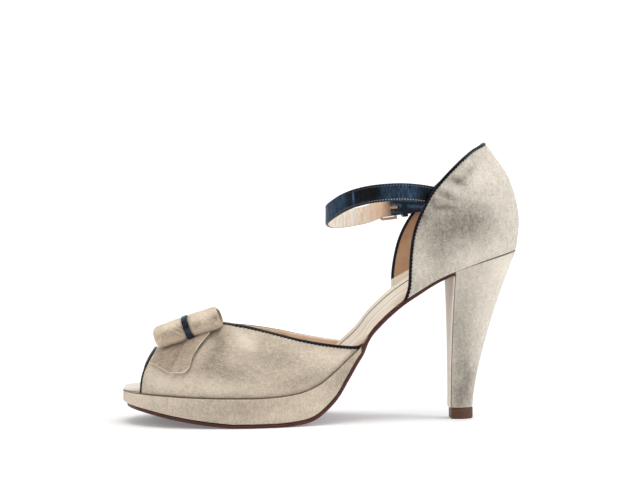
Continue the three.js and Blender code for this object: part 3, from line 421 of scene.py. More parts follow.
platform_rings = []
for x in np.concatenate([
    spread(TOE + 0.03, along(0.27), 60, True, False),
    np.linspace(along(0.275), along(PLATFORM_BACK_AT), 110),
]):
    medial, lateral = half_width(x, -1) + PLATFORM_EDGE, half_width(x, 1) + PLATFORM_EDGE
    low, high = platform_low(x) + GAP, feather(x) - GAP
    thick = high - low
    edge = min(0.9, 0.3 * thick)
    outline = rounded([(-medial, low), (lateral, low), (lateral, high), (-medial, high)], edge, 4)
    walls = np.linspace(low + edge, high - edge, 10)[1:-1]
    puff = 0.22 * min(1, thick / 8) * np.sin(np.pi * (walls - low) / thick)
    right = np.stack([lateral + puff, walls], 1)
    left = np.stack([-medial - puff, walls], 1)[::-1]
    ring = np.concatenate([outline[4:8], right, outline[8:12], outline[12:], left, outline[:4]])
    platform_rings.append(np.insert(ring, 0, x, 1))
# The strip's upper edge is turned in under the upper: two strips of the mesh painted dark as the shade in the
# seam
platform = body("platform_cover", platform_rings, [0] * 16 + [1, 1] + [0] * 14, crisp=60)
PLATFORM_PAINTED_LIGHT = [
    # x, z, reach along, reach across, lean in degrees, painted light (+) or painted shade (-)
    (-68, 13, 9, 8, 0, 0.34), (-35, 9, 14, 5, 0, 0.03), (-5, 11, 20, 6, 0, -0.14),
    (34, 12, 12, 8, 20, 0.08), (50, 27, 12, 5, 50, -0.2), (-50, 16, 16, 3, 0, 0.12), (14, 8, 14, 3, 0, 0.06),
]
platform_suede = suede("platform suede", PLATFORM_PAINTED_LIGHT, (0.6, 1, 1.3), 0.55, streaks=(1, 1, 0.3))
# Painted shade, with a little dirt, for the dark gaps where the upper meets the platform and the seat
seam_shade, shader, place = material("seam shade", Specular_IOR_Level=0.1)
feed(
    shader,
    Base_Color=place.noise(0.7, 3.0).mix((0.05, 0.038, 0.028, 1), (0.16, 0.125, 0.09, 1)),
    Roughness=place.noise(0.3) * 0.1 + 0.85,
)
dress(platform, [platform_suede, seam_shade], "platform")

# Outsole. Thin leather sole cemented under the platform and up the shank to the heel's breast.
# Its edge is trimmed, stained dark brown and burnished with wax; its underside is plain leather.
OUTSOLE_TUCK, OUTSOLE_INSET, SEAT_INSET = 2.2, 0.2, 0.5
UPPER_WALL, PROUD = 1.6, 0.35
HEEL_FRONT_AT, BREAST_THICKNESS = 0.834, 0.9
SHANK_SKIVE = 0.8  # how much the sole is pared away towards the heel
heel_front = along(HEEL_FRONT_AT)
step_up = along(PLATFORM_BACK_AT) + 2 * GAP


def outsole_half(x, side):
    in_front = half_width(x - OUTSOLE_TUCK, side) - OUTSOLE_INSET
    in_waist = half_width(x, side) - UPPER_WALL - PROUD
    under_seat = half_width(x, side) - SEAT_INSET
    front = in_front + (in_waist - in_front) * smooth(x, along(0.56), along(0.62))
    return front + (under_seat - front) * smooth(x, along(0.7), along(0.74))


def shank_underside(x):
    return feather(x) - GAP - OUTSOLE_THICKNESS * steepness(feather, x)


outsole_rings = []
for x in np.concatenate([
    spread(TOE + OUTSOLE_TUCK + 0.05, along(0.27), 50, True, False),
    np.linspace(along(0.275), step_up - GAP, 80),
    np.linspace(step_up, heel_front - 2 * GAP - BREAST_THICKNESS, 60),
]):
    medial, lateral = outsole_half(x, -1), outsole_half(x, 1)
    skive = SHANK_SKIVE * smooth(x, along(0.66), along(0.8))
    under = platform_underside(x)
    low = under + (shank_underside(x) + skive - under) * smooth(share(x), 0.6, 0.634)
    high = platform_low(x) if x < step_up - GAP / 2 else feather(x) - GAP
    outline = rounded([(-medial, low), (lateral, low), (lateral, high), (-medial, high)], 0.55, 5)
    outsole_rings.append(np.insert(outline, 0, x, 1))
outsole = body("outsole_leather", outsole_rings, crisp=60)
sole_leather, shader, place = material("sole leather", Specular_IOR_Level=0.3, Coat_Roughness=0.35)
grain = place.noise(0.25, 4.0, 0.6, (0.25, 1, 4))
pores = place.noise(1.4, 3.0, 0.7)
stain = (grain * 0.7 + pores * 0.4).step(0.35, 0.8)
worn = place.noise(0.08, 4.0, 0.7).step(0.5, 0.75)
feed(
    shader,
    Base_Color=stain.mix((0.045, 0.01, 0.007, 1), (0.125, 0.032, 0.02, 1)),
    Roughness=worn * 0.2 + 0.36,
    Coat_Weight=worn * -0.1 + 0.15,
    Normal=(grain * 0.5 + pores * 0.5).bump(0.35, 0.0003),
)
dress(outsole, [sole_leather], "outsole")

# Insole. A board covered by a padded sock of cream kid leather, its edge turned under all round.
# It is cupped a little from the waist to the seat, so its rims stand up and its middle lies lower.
# The outer rim stands highest at the waist, where a seam runs along the foot of its inside.
INSOLE_THICKNESS, INSOLE_TOE_THICKNESS, INSOLE_CUP, OUTER_RIM_RISE = 3.8, 1.5, 1.1, 2.3
INSOLE_INSET = UPPER_WALL + PROUD + GAP
insole_toe, insole_back = TOE + 0.9, BACK - INSOLE_INSET


def insole_half(x, side):
    near = np.clip(x, insole_toe, BACK - 0.2)
    lean = (half_width(near + 0.05, side) - half_width(near - 0.05, side)) / 0.1
    walled = smooth(x, along(0.008), along(0.038))
    inset = (0.1 + INSOLE_INSET * walled) * np.hypot(1, lean)
    return np.maximum(half_width(near, side) - inset, 1.2)


insole_rings = []
for x in np.concatenate([
    spread(insole_toe, along(0.25), 50, True, False),
    np.linspace(along(0.255), along(0.86), 130),
    spread(along(0.865), insole_back, 36, False, True),
]):
    padding = (INSOLE_THICKNESS - INSOLE_TOE_THICKNESS) * smooth(x, TOE, along(0.2))
    thickness = INSOLE_TOE_THICKNESS + padding
    cup = INSOLE_CUP * smooth(x, along(0.45), along(0.62))
    medial, lateral = insole_half(x, -1), insole_half(x, 1)
    low, rim = feather(x), feather(x) + thickness + cup
    soft = min(1.3, 0.42 * (rim - low))
    raised = OUTER_RIM_RISE * smooth(x, along(0.4), along(0.5))
    corners = [(-medial, low), (lateral, low), (lateral, rim + raised), (-medial, rim)]
    outline = rounded(corners, soft, 6)
    part = np.concatenate([[0.025, 0.05, 0.068, 0.082], np.linspace(0, 1, 26)[3:-1]])
    y = lateral - soft + (soft * 2 - medial - lateral) * part
    sag = 1.5 * cup * (1 - (2 * part - 1) ** 2)
    channel = 0.7 * np.exp(-(((part - 0.47) / 0.06) ** 2)) * smooth(x, along(0.5), along(0.6))
    crown = 0.4 * np.sin(np.pi * part) * (1 - smooth(x, along(0.3), along(0.5)))
    channel = channel + raised * smooth(part, 0.0, 0.11) - raised
    top = np.stack([y, rim - sag - channel + crown], 1)
    ring = np.concatenate([outline[:18], top, outline[18:]])
    insole_rings.append(np.insert(ring, 0, x, 1))
# The seam along the foot of the outer rim is one strip of the mesh, painted dark behind the ball as the shade
# in its gap
insole = body("insole_sock", insole_rings, [0] * 20 + [1] + [0] * 31, crisp=None)
sock_leather, shader, place = material("sock leather", Specular_IOR_Level=0.4, Coat_Roughness=0.4)
x, y, z = place.parts()
cloud = place.noise(0.05, 3.0, 0.5)
pores = place.make("ShaderNodeTexVoronoi", None, {"Vector": place, "Scale": 2.2})
creases = place.noise(0.5, 4.0, 0.6, (0.5, 1.6, 1))
near_rim = y.step(-14.0, -21.0)
cream = (cloud * 0.8 + creases * 0.3).step(0.3, 0.85).mix((0.78, 0.655, 0.51, 1), (0.9, 0.8, 0.66, 1))
# Painted light: the sock is made paler at the toe, open under the peep, and from the waist back
cream = x.step(-48.0, -60.0).mix(cream, (0.93, 0.88, 0.79, 1))
cream = (x.step(40.0, 75.0) * 0.6).mix(cream, (1.0, 0.93, 0.8, 1))
# Painted shade along the soft groove down the middle of the sock, from the waist back
middle_line = (y - 2.5 + (cloud - 0.5) * 3.0) * 0.36
groove = (middle_line * middle_line * -1.0).maths("EXPONENT") * x.step(38.0, 52.0)
cream = (groove * 0.55).mix(cream, (0.5, 0.4, 0.28, 1))
feed(
    shader,
    Base_Color=(near_rim * 0.5).mix(cream, (0.83, 0.63, 0.47, 1)),
    Roughness=cloud * 0.2 + 0.42,
    Coat_Weight=cloud * 0.1,
    Normal=(pores * 0.5 + creases * 0.8).bump(0.25, 0.0003),
)
# Painted shade in the gap of the seam at the foot of the outer rim, cream towards the toe
sock_seam_shade, shader, place = material("sock seam shade", Specular_IOR_Level=0.1)
x, y, z = place.parts()
shade = place.noise(0.7, 3.0).mix((0.03, 0.022, 0.016, 1), (0.1, 0.075, 0.05, 1))
feed(
    shader,
    Base_Color=x.step(-10.0, 6.0).mix((0.8, 0.68, 0.53, 1), shade),
    Roughness=place.noise(0.3) * 0.1 + 0.8,
)
dress(insole, [sock_leather, sock_seam_shade], "insole")

# Vamp. Suede upper over the forefoot, pulled over the last and lined with tan leather. Its bottom edge
# is turned under at the feather line, and its two free edges run inside the patent bindings.
INSTEP_HEIGHT, BINDING_WIDTH, TOE_BINDING_WIDTH = 45, 1.6, 1.0
LINING_TAN, LINING_PINK = (0.93, 0.68, 0.48, 1), (1.0, 0.83, 0.72, 1)

# Ridge of the forefoot: place, height over the feather as a share of INSTEP_HEIGHT, sideways place
RIDGE = [
    (0.0, 0.2, 0), (0.042, 0.37, 0), (0.075, 0.5, 0), (0.12, 0.59, 0), (0.16, 0.66, 0),
    (0.2, 0.765, 0), (0.251, 0.89, 0), (0.302, 0.935, -0.02), (0.365, 0.99, -0.03),
    (0.437, 1.05, -0.04), (0.49, 1.08, -0.04), (0.54, 1.09, -0.04), (0.63, 1.1, -0.04),
]
ridge_at, aside_at = curve(RIDGE, 1), curve(RIDGE, 2)


def vamp_skin(x, turn):
    """Skin of the vamp: turn runs from 0 at the medial feather over the ridge to pi at the lateral one."""
    at = share(x)
    side = np.where(turn < np.pi / 2, -1, 1)
    power = 0.92 + 0.2 * smooth(at, 0.08, 0.25)
    reach = np.abs(np.cos(turn)) ** power
    belly = 1 + 0.035 * np.sin(2 * np.minimum(turn, np.pi - turn))
    rise = np.maximum(np.sin(turn), 0)
    y = side * half_width(x, side) * reach * belly + aside_at(at) * BALL_WIDTH * rise**2
    return np.stack([x + 0 * y, y, feather(x) + INSTEP_HEIGHT * ridge_at(at) * rise], -1)


def off_skin(skin, u, v, distance, du, dv):
    """Points moved off a skin along its own normal."""
    normal = np.cross(skin(u + du, v) - skin(u - du, v), skin(u, v + dv) - skin(u, v - dv))
    normal /= np.maximum(np.linalg.norm(normal, axis=-1, keepdims=True), 1e-9)
    return skin(u, v) + normal * np.asarray(distance)[..., None]


# Inner topline in side view: place, height over the floor as a share of INSTEP_HEIGHT
VAMP_TOPLINE = [
    (0.2, 1.262), (0.251, 1.254), (0.281, 1.24), (0.318, 1.213), (0.354, 1.174), (0.391, 1.129),
    (0.44, 1.068), (0.489, 1.018), (0.552, 0.972), (0.588, 0.968), (0.603, 1.022), (0.613, 1.095),
    (0.63, 1.25),
]
vamp_top_at = curve(VAMP_TOPLINE)

# Peep-toe edge in side view: height over the feather as a share of INSTEP_HEIGHT, place
PEEP = [(0.0, 0.043), (0.13, 0.045), (0.25, 0.05), (0.38, 0.062), (0.5, 0.0755), (0.62, 0.09)]
peep_at = curve(PEEP)

# How far the outer topline lies below the inner one: place, share of INSTEP_HEIGHT
LATERAL_DIP = [(0.2, 0.047), (0.31, 0.046), (0.36, 0.034), (0.42, 0.021), (0.63, 0.018)]
dip_at = curve(LATERAL_DIP)


def vamp_topline(x, turn, inset):
    at, near = share(x), 0.004
    climb = INSTEP_HEIGHT * (vamp_top_at(at + near) - vamp_top_at(at - near))
    lean = np.hypot(1, climb / (2 * near * SHOE_LENGTH))
    dip = dip_at(at) * smooth(turn, np.pi / 2, 0.65 * np.pi)
    return INSTEP_HEIGHT * (vamp_top_at(at) - dip) - inset * lean


def crossing(start, end, inside):
    """Where a way from start to end leaves what is inside, for each of many starts."""
    low, high = start + 0.0, end + 0.0
    for _ in range(34):
        middle = (low + high) / 2
        hit = inside(middle)
        low, high = np.where(hit, middle, low), np.where(hit, high, middle)
    return (low + high) / 2


VAMP_MIDDLE_AT, WING_END_AT = 0.2, 0.612


def vamp_back_end(turn, inset):
    def covered(x):
        return vamp_skin(x, turn)[..., 2] < vamp_topline(x, turn, inset)

    start = np.full(np.shape(turn), along(VAMP_MIDDLE_AT))
    return crossing(start, start * 0 + along(WING_END_AT) - inset, covered)


def vamp_front_end(turn, inset):
    def covered(x):
        height = (vamp_skin(x, turn)[..., 2] - feather(x)) / INSTEP_HEIGHT
        return x > along(peep_at(height)) + inset

    start = np.full(np.shape(turn), along(VAMP_MIDDLE_AT))
    return crossing(start, start * 0 + TOE, covered)


def vamp_off(x, turn, distance):
    safe = np.clip(turn, 0.012, np.pi - 0.012)
    made = off_skin(vamp_skin, x, safe, distance, 0.4, 0.01)
    made[..., 2] = np.where(turn == safe, made[..., 2], feather(made[..., 0]))
    return made


def run_along(points):
    """Length of a line of points up to each of them."""
    return np.concatenate([[0], np.linalg.norm(np.diff(points, axis=0), axis=1).cumsum()])


def even_turns(count):
    """Turns at even distances along the vamp's topline."""
    fine = np.pi * (1 - np.cos(np.pi * np.linspace(0, 1, 900))) / 2
    run = run_along(vamp_skin(vamp_back_end(fine, 0), fine))
    return np.interp(np.linspace(0, run[-1], count), run, fine)


VAMP_TURNS = even_turns(190)
VAMP_FOLDS = [
    # x, z, reach along, reach across, lean in degrees, height: soft folds of the suede in side view
    (-22, 48, 7, 2.4, -58, -0.5), (-12, 50, 8, 2.4, -50, 0.35), (-4, 42, 10, 2.0, -40, -0.25),
    (48, 34, 14, 2.4, 35, -0.4), (40, 28, 15, 2.2, 32, 0.3), (-58, 27, 8, 2.0, 70, -0.25),
    (20, 44, 16, 3.0, -14, 0.3), (-26, 31, 12, 2.5, -12, -0.3), (4, 27, 18, 2.6, -3, 0.25),
]


def folds(points, rows):
    """Height of soft troughs and ridges at points, seen from the inner side."""
    total = np.zeros(points.shape[:-1])
    for x, z, reach, across, lean, height in rows:
        c, s = math.cos(math.radians(lean)), math.sin(math.radians(lean))
        dx, dz = points[..., 0] - x, points[..., 2] - z
        u, v = (dx * c + dz * s) / reach, (dz * c - dx * s) / across
        total += height * np.exp(-(u * u + v * v)) * (points[..., 1] < 0)
    return total


turns = VAMP_TURNS[:, None]
VAMP_LINES = 90
places = np.linspace(0, 1, VAMP_LINES)[None, :]
front = vamp_front_end(VAMP_TURNS, TOE_BINDING_WIDTH * 0.55)[:, None]
back = vamp_back_end(VAMP_TURNS, BINDING_WIDTH * 0.5)[:, None]
xs = front + (back - front) * places
turns = turns + 0 * xs
skived = smooth(np.minimum((xs - front), (back - xs)), 1.4, 0.4)
rim = np.abs(np.sin(turns)) * INSTEP_HEIGHT
turned = smooth(rim, 2.2, 0.0) * 0.75
SKIVE = 0.14  # how much each face is pared where a binding grips the upper
relief = folds(vamp_skin(xs, turns), VAMP_FOLDS)
outer = vamp_off(xs, turns, relief * (1 - skived) - SKIVE * skived - turned)
inner = vamp_off(xs, turns, -UPPER_WALL + SKIVE * skived)
zones = [0] * (VAMP_LINES - 1) + [1] * (VAMP_LINES + 1)
vamp = body("vamp_upper", np.concatenate([outer, inner[:, ::-1]], 1), zones, crisp=65)
# Painted light and shade on the vamp: soft spots, columns as for the platform
VAMP_PAINTED_LIGHT = [
    (-4, 47, 8, 4, -25, 0.34), (-20, 45, 4.5, 7, -24, -0.38), (-24, 36, 7, 5, 30, -0.2),
    (-15, 31, 13, 5, -4, -0.28), (12, 37, 14, 7, 0, -0.18), (38, 38, 14, 5, -12, 0.28),
    (-28, 24, 12, 4, 0, 0.16), (26, 25, 15, 4, 12, -0.2), (-48, 25, 13, 4, 0, 0.36), (52, 39, 8, 3, 20, 0.18),
    (-60, 32, 4, 7, -20, 0.22), (-12, 22, 16, 2.5, 0, 0.14), (4, 44, 2.5, 5, -30, -0.12),
]


def lining(name, base, other):
    """Smooth lining leather, faintly creased."""
    look, shader, place = material(name, Specular_IOR_Level=0.35)
    cloud = place.noise(0.12, 4.0, 0.6)
    creases = place.noise(0.8, 3.0, 0.6, (1, 1, 0.4))
    feed(
        shader,
        Base_Color=(cloud * 0.8 + creases * 0.3).step(0.3, 0.8).mix(base, other),
        Roughness=cloud * 0.2 + 0.5,
        Normal=creases.bump(0.25, 0.0003),
    )
    return look


vamp_suede = suede("vamp suede", VAMP_PAINTED_LIGHT, (0.7, 0.7, 1.3), 0.5)
vamp_lining = lining("vamp lining", LINING_TAN, LINING_PINK)
dress(vamp, [vamp_suede, vamp_lining], "vamp")

# Vamp bindings. Strips of navy patent leather folded over the raw edges of the vamp and stitched through.
# One runs along the throat and both wings, the other round the peep toe; both are U-shaped in section.


def binding_profile(width):
    """Inset from the edge and distance off the skin, round the folded strip and back inside it."""
    radius = UPPER_WALL / 2 + PROUD
    nose = np.linspace(np.pi / 2, -np.pi / 2, 13)
    squash = min(1.0, 0.8 * width / radius)
    outside = [(width, -0.02), (width - 0.12, PROUD * 0.75), (width - 0.3, PROUD)]
    inside = [(inset, -UPPER_WALL - off) for inset, off in reversed(outside)]
    nose = [(radius * squash * (1 - np.cos(a)), radius * np.sin(a) - UPPER_WALL / 2) for a in nose]
    slit = [(0.45, -UPPER_WALL + 0.02), (0.4, -UPPER_WALL / 2), (0.45, -0.02)]
    return np.array(outside + nose + inside + slit)


def patent(name, painted_light, wrinkle, gloss, base=0.2):
    """Patent leather: blue-black under a clear film with fine wrinkles. Painted light gives it soft spots of
    painted sheen, given as for the suede.
    """
    look, shader, place = material(name, Coat_Roughness=0.08, Specular_IOR_Level=0.15, Coat_IOR=1.4)
    wave = place.noise(0.16, 2.0, 0.5)
    ripple = place.noise(0.8, 3.0, 0.6, (1.6, 1.6, 0.35), 0.6)
    cloud = place.noise(0.12, 3.0, 0.6)
    tone = (cloud - 0.5) * 0.5 + base
    if painted_light:
        sheen = place.spots(painted_light, place.noise(0.2, 2.0) * 3.0 - 1.5)
        tone = tone + sheen * (ripple.step(0.34, 0.66) * 1.5 + 0.25)
    tone = tone.maths("ADD", 0.0, clamp=True)
    feed(
        shader,
        Base_Color=tone.mix((0.001, 0.0014, 0.004, 1), (0.05, 0.105, 0.19, 1)),
        Roughness=cloud * 0.15 + 0.3,
        Coat_Weight=cloud * 0.1 + gloss,
        Normal=(wave * 1.4 + ripple * 0.5).bump(0.16 * wrinkle, 0.0012),
    )
    return look


STITCH_PITCH, STITCH_REACH = 2.0, 0.38


def stitches(line):
    """How far each stitch draws the strip's cut edge in, along the bound edge."""
    return STITCH_REACH * np.clip(np.sin(2 * np.pi * run_along(line) / STITCH_PITCH) * 1.6, 0, 1)


EDGE_TURNS = even_turns(640)
stitched = stitches(vamp_skin(vamp_back_end(EDGE_TURNS, 0), EDGE_TURNS))
binding_look = patent("binding patent", (), 1.3, 0.12, 0.0)
for name, node, ends, width, outside in (
    # piece, model's node, the edge it binds, width, how many strips of its section show navy
    ("vamp_topline_edge", "vamp_topline_binding", vamp_back_end, BINDING_WIDTH, 9),
    ("toe_edge", "toe_binding", vamp_front_end, TOE_BINDING_WIDTH, 11),
):
    profile = binding_profile(width)
    turns = EDGE_TURNS[:, None] + 0 * profile[None, :, 0]
    insets = [inset + stitched * (k < 2) for k, inset in enumerate(profile[:, 0])]
    xs = np.stack([ends(EDGE_TURNS, inset) for inset in insets], 1)
    rings = vamp_off(xs, turns, profile[None, :, 1] + 0 * xs)
    zones = [0] * outside + [1] * (len(profile) - outside)
    dress(body(name, rings, zones, crisp=55), [binding_look, vamp_lining], node)

# Counter. Suede over a stiffener round the heel, lined with tan leather, with a pad of cream leather over
# the lining's bottom edge. It is drawn to the last, widest over the seat and leaning in to the top.
COUNTER_HEIGHT = 61.4

# Back of the counter in side view: height over the feather, shift along the shoe, shares of COUNTER_HEIGHT
BACK_CURVE = [
    (0.0, 0.0), (0.135, 0.0195), (0.256, 0.0293), (0.37, 0.0195), (0.506, -0.0081), (0.62, -0.0472),
    (0.72, -0.0928), (0.787, -0.1401), (0.88, -0.2068), (0.945, -0.2541), (1.0, -0.2997),
]
back_shift = curve(BACK_CURVE)

# Front edge and topline: run, medial place, lateral place, height as a share of COUNTER_HEIGHT
COUNTER_EDGE = [
    (0.0, 0.683, 0.66, 0.0), (0.04, 0.7, 0.679, 0.012), (0.09, 0.7105, 0.69, 0.1),
    (0.17, 0.713, 0.692, 0.246), (0.26, 0.7152, 0.6985, 0.394), (0.35, 0.7205, 0.711, 0.533),
    (0.43, 0.7303, 0.7325, 0.643), (0.52, 0.747, 0.769, 0.743), (0.6, 0.762, 0.802, 0.813),
    (0.68, 0.7835, 0.8355, 0.876), (0.76, 0.8185, 0.866, 0.953), (0.84, 0.848, 0.891, 1.011),
    (0.91, 0.876, 0.907, 1.052), (0.96, 0.895, 0.9135, 1.065), (1.0, 0.9172, 0.9172, 1.08),
]
edge_medial, edge_lateral, edge_height = (curve(COUNTER_EDGE, i) for i in (1, 2, 3))


def back_share(x):
    """0 at the counter's front and 1 at its back, where the lean of the back seam counts in full."""
    return smooth(x, along(0.72), BACK)


def counter_skin(w, t):
    """Skin of the counter: w is the root of the distance from the back, t the height over the feather."""
    x = BACK - w * w
    side = np.where(w < 0, -1, 1)
    behind = back_share(x)
    swell = np.sin(np.pi * np.clip(t, 0, 1) * 0.55)
    width = 1 + 0.07 * swell * (1 - behind) - 0.2 * t * t * behind
    shifted = x + COUNTER_HEIGHT * back_shift(t) * behind
    return np.stack([shifted, side * half_width(x, side) * width, feather(x) + COUNTER_HEIGHT * t], -1)


def counter_edge(run, side, inset):
    """Points of the counter's free edge in side view, moved in from it by an inset."""

    def spot(r):
        x = along(np.where(side < 0, edge_medial(r), edge_lateral(r)))
        return x, feather(x) + COUNTER_HEIGHT * edge_height(r)

    x, z = spot(run)
    ax, az = spot(np.maximum(run - 0.01, 0))
    bx, bz = spot(np.minimum(run + 0.01, 1))
    length = np.hypot(bx - ax, bz - az)
    return x + inset * (bz - az) / length, z - inset * (bx - ax) / length


def counter_spot(x, z, side):
    """The counter skin's own coordinates of points given in side view."""
    t = (z - feather(x)) / COUNTER_HEIGHT
    foot = x + 0.0
    for _ in range(60):
        foot = foot + 0.5 * (x - COUNTER_HEIGHT * back_shift(t) * back_share(foot) - foot)
        foot = np.minimum(foot, BACK)
        t = (z - feather(foot)) / COUNTER_HEIGHT
    return side * np.sqrt(np.maximum(BACK - foot, 0)), np.maximum(t, 0)


def counter_off(w, t, distance):
    made = off_skin(counter_skin, w, t, distance, 0.02, 0.01)
    made[..., 2] = np.where(t > 0, made[..., 2], feather(BACK - w * w))
    return made


def counter_lines(first, count):
    """Runs and sides of the counter's lines, from the medial front round the back to the lateral front."""
    runs = np.linspace(first, 1, count)
    return np.concatenate([runs, runs[-2::-1]]), np.concatenate([-np.ones(count), np.ones(count - 1)])


runs, sides = counter_lines(0.06, 80)
upper_w, upper_t = counter_spot(*counter_edge(runs, sides, BINDING_WIDTH * 0.5), sides)
front_w = np.where(sides < 0, upper_w[0], upper_w[-1])
lower_w = front_w * ((1 - runs) / (1 - runs[0])) ** 1.15
COUNTER_ROWS = 54
rows = np.concatenate([[0, 0.006], np.linspace(0.02, 1, COUNTER_ROWS)])[None, :]
ws = lower_w[:, None] + (upper_w - lower_w)[:, None] * rows
ts = upper_t[:, None] * rows
COUNTER_FOLDS = [
    # x, z, reach along, reach across, lean, height
    (112, 135.5, 6, 1.5, -24, -0.75), (118, 139.5, 7, 1.6, 40, -0.5), (109, 131.5, 7, 1.5, -27, 0.6),
    (106, 127.5, 6, 1.4, -25, -0.7), (99, 123.5, 2.2, 1.6, 10, -0.5), (103, 120.5, 6, 1.3, -4, -0.6),
    (102, 124, 5, 1.3, 10, 0.4), (122, 124, 11, 1.6, -4, 0.5), (119, 120, 12, 2.2, -4, -0.35),
    (93, 116, 4, 1.4, 35, -0.55), (96, 112, 5, 1.5, 30, 0.4), (101, 97, 1.5, 9, 4, -0.35),
    (106, 96, 1.6, 9, 4, 0.35), (97, 90, 1.6, 8, 4, 0.25), (88, 100, 1.8, 12, -6, -0.2),
]
FRONT_SKIVE = np.array([1, 1, 0.9, 0.5, 0.15])[:, None]  # by line of the mesh, from the front edge
skived = smooth(rows, 0.965, 0.99) + 0 * ws
skived[:5] = np.maximum(skived[:5], FRONT_SKIVE)
skived[-5:] = np.maximum(skived[-5:], FRONT_SKIVE[::-1])
turned = smooth(ts * COUNTER_HEIGHT, 1.6, 0.0) * 0.5
relief = folds(counter_skin(ws, ts), COUNTER_FOLDS)
outer = counter_off(ws, ts, relief * (1 - skived) - SKIVE * skived - turned)
inner = counter_off(ws, ts, -UPPER_WALL + SKIVE * skived)
# Strips of the mesh: the turned-in edge at the seat painted dark as the shade in the seam, the suede up to the
# top, the lining down again
zones = [2] + [0] * COUNTER_ROWS + [1] * (COUNTER_ROWS + 3)
counter = body("counter_upper", np.concatenate([outer, inner[:, ::-1]], 1), zones, crisp=65)
# Painted light and shade on the counter, with painted shade in the troughs of its folds; columns as for the
# platform
COUNTER_PAINTED_LIGHT = [
    (113, 135, 5, 2.2, -20, -0.5), (119, 139.5, 7, 2.2, 42, -0.36), (109, 131, 6, 1.6, -27, 0.22),
    (106, 127, 6, 2, -24, -0.38), (99, 124, 2.4, 2, 0, -0.4), (103, 120.5, 7, 1.8, -4, -0.42),
    (93, 115.5, 5, 3, 30, -0.32), (117, 112, 16, 10, 4, -0.44), (103, 106, 11, 13, 60, -0.2),
    (125, 136, 12, 9, 30, 0.26), (119, 91, 13, 7, 18, 0.3), (138, 112, 8, 18, 0, 0.1), (93, 88, 5, 9, 0, 0.1),
    (103, 96, 5, 9, 5, -0.16), (90, 86, 7, 7, 0, 0.14), (128, 124, 10, 3, -4, 0.12),
]
counter_suede = suede(
    "counter suede", COUNTER_PAINTED_LIGHT, (0.8, 0.8, 1.1), 0.5, 1.15, SUEDE_PALE, SUEDE_GREY, (1, 1, 0.25)
)
PAD_SLOPE, PAD_RISE, PAD_CREAM = 0.55, 33.5, (0.97, 0.9, 0.78, 1)  # the pad's top is a line in side view
counter_lining, shader, place = material("counter lining", Specular_IOR_Level=0.35)
x, y, z = place.parts()
cloud = place.noise(0.1, 4.0, 0.6)
creases = place.noise(0.7, 3.0, 0.6, (1, 1, 0.4))
pad = (z - (x * PAD_SLOPE + PAD_RISE) + (cloud - 0.5) * 1.2).step(0.5, -0.5)
tan = (cloud * 0.8 + creases * 0.3).step(0.3, 0.8).mix((0.42, 0.24, 0.14, 1), (0.58, 0.36, 0.23, 1))
feed(
    shader,
    Base_Color=pad.mix(tan, PAD_CREAM),
    Roughness=cloud * 0.2 + 0.45,
    Normal=(creases * 0.4 + pad * 1.0).bump(0.4, 0.0006),
)
dress(counter, [counter_suede, counter_lining, seam_shade], "counter")

# Counter binding. The same folded patent strip, up both front edges of the counter and over its topline,
# joined at the top of the back seam. Inside the shoe its lower ends lie under the cream pad.
binding_fold, shader, place = material("binding fold", Specular_IOR_Level=0.2)
x, y, z = place.parts()
pad = (z - (x * PAD_SLOPE + PAD_RISE)).step(0.4, -0.4)
navy = place.noise(0.3, 3.0, 0.6).mix((0.002, 0.004, 0.01, 1), (0.006, 0.012, 0.025, 1))
feed(shader, Base_Color=pad.mix(navy, PAD_CREAM), Roughness=place.noise(0.8) * 0.2 + 0.3)
profile = binding_profile(BINDING_WIDTH)
runs, sides = counter_lines(0.0, 420)
stitched = stitches(counter_skin(*counter_spot(*counter_edge(runs, sides, 0), sides)))
insets = profile[None, :, 0] + stitched[:, None] * (np.arange(len(profile)) < 2)[None, :]
edge_x, edge_z = counter_edge(runs[:, None] + 0 * insets, sides[:, None], insets)
ws, ts = counter_spot(edge_x, edge_z, sides[:, None])
rings = counter_off(ws, ts, profile[None, :, 1] + 0 * ws)
zones = [0] * 10 + [1] * (len(profile) - 10)  # ten strips of its section show navy
counter_binding = body("counter_edge", rings, zones, crisp=55)
dress(counter_binding, [binding_look, binding_fold], "counter_binding")

# Heel. Moulded block heel wrapped in one piece of suede whose edges meet at the breast.
# Its back sweeps in below the seat, and it stands on the top piece.
TIP_LENGTH, TIP_WIDTH, TIP_HEIGHT, TIP_BACK_AT = 12.7, 12.4, 6.5, 0.889
HEEL_SWEEP, HEEL_TAPER = 1.45, 2.0  # how fast the heel closes in below the seat, lengthwise and sideways
SEAT_HALF = 0.325 * BALL_WIDTH
tip_back = along(TIP_BACK_AT)


def heel_point(w, t):
    """Point of the heel's rim from w as on the counter and t from 0 at the seat to 1 at the top piece."""
    x = BACK - w * w
    side = np.where(w < 0, -1, 1)
    corner = 4 * (1 - smooth(x, heel_front, along(0.93))) ** 2
    y = side * np.maximum(half_width(x, side) - corner, 0)
    tip_x = tip_back - (BACK - x) * TIP_LENGTH / (BACK - heel_front)
    tip_y = y * TIP_WIDTH / 2 / SEAT_HALF
    seat = feather(x) - GAP
    x, y = tip_x + (x - tip_x) * (1 - t) ** HEEL_SWEEP, tip_y + (y - tip_y) * (1 - t) ** HEEL_TAPER
    return np.stack([x, y, seat + (TIP_HEIGHT - seat) * t], -1)


heel_edge = math.sqrt(BACK - heel_front)


def heel_ring(t):
    """The heel's outline at t, closed straight across the breast."""
    rim = heel_point(np.linspace(-heel_edge, heel_edge, 90), t)
    over_breast = rim[-1] + (rim[0] - rim[-1]) * np.linspace(0, 1, 14)[1:-1, None]
    return np.concatenate([rim, over_breast])


heel = body("heel_cover", [heel_ring(t) for t in np.linspace(0, 1, 90)], crisp=45)
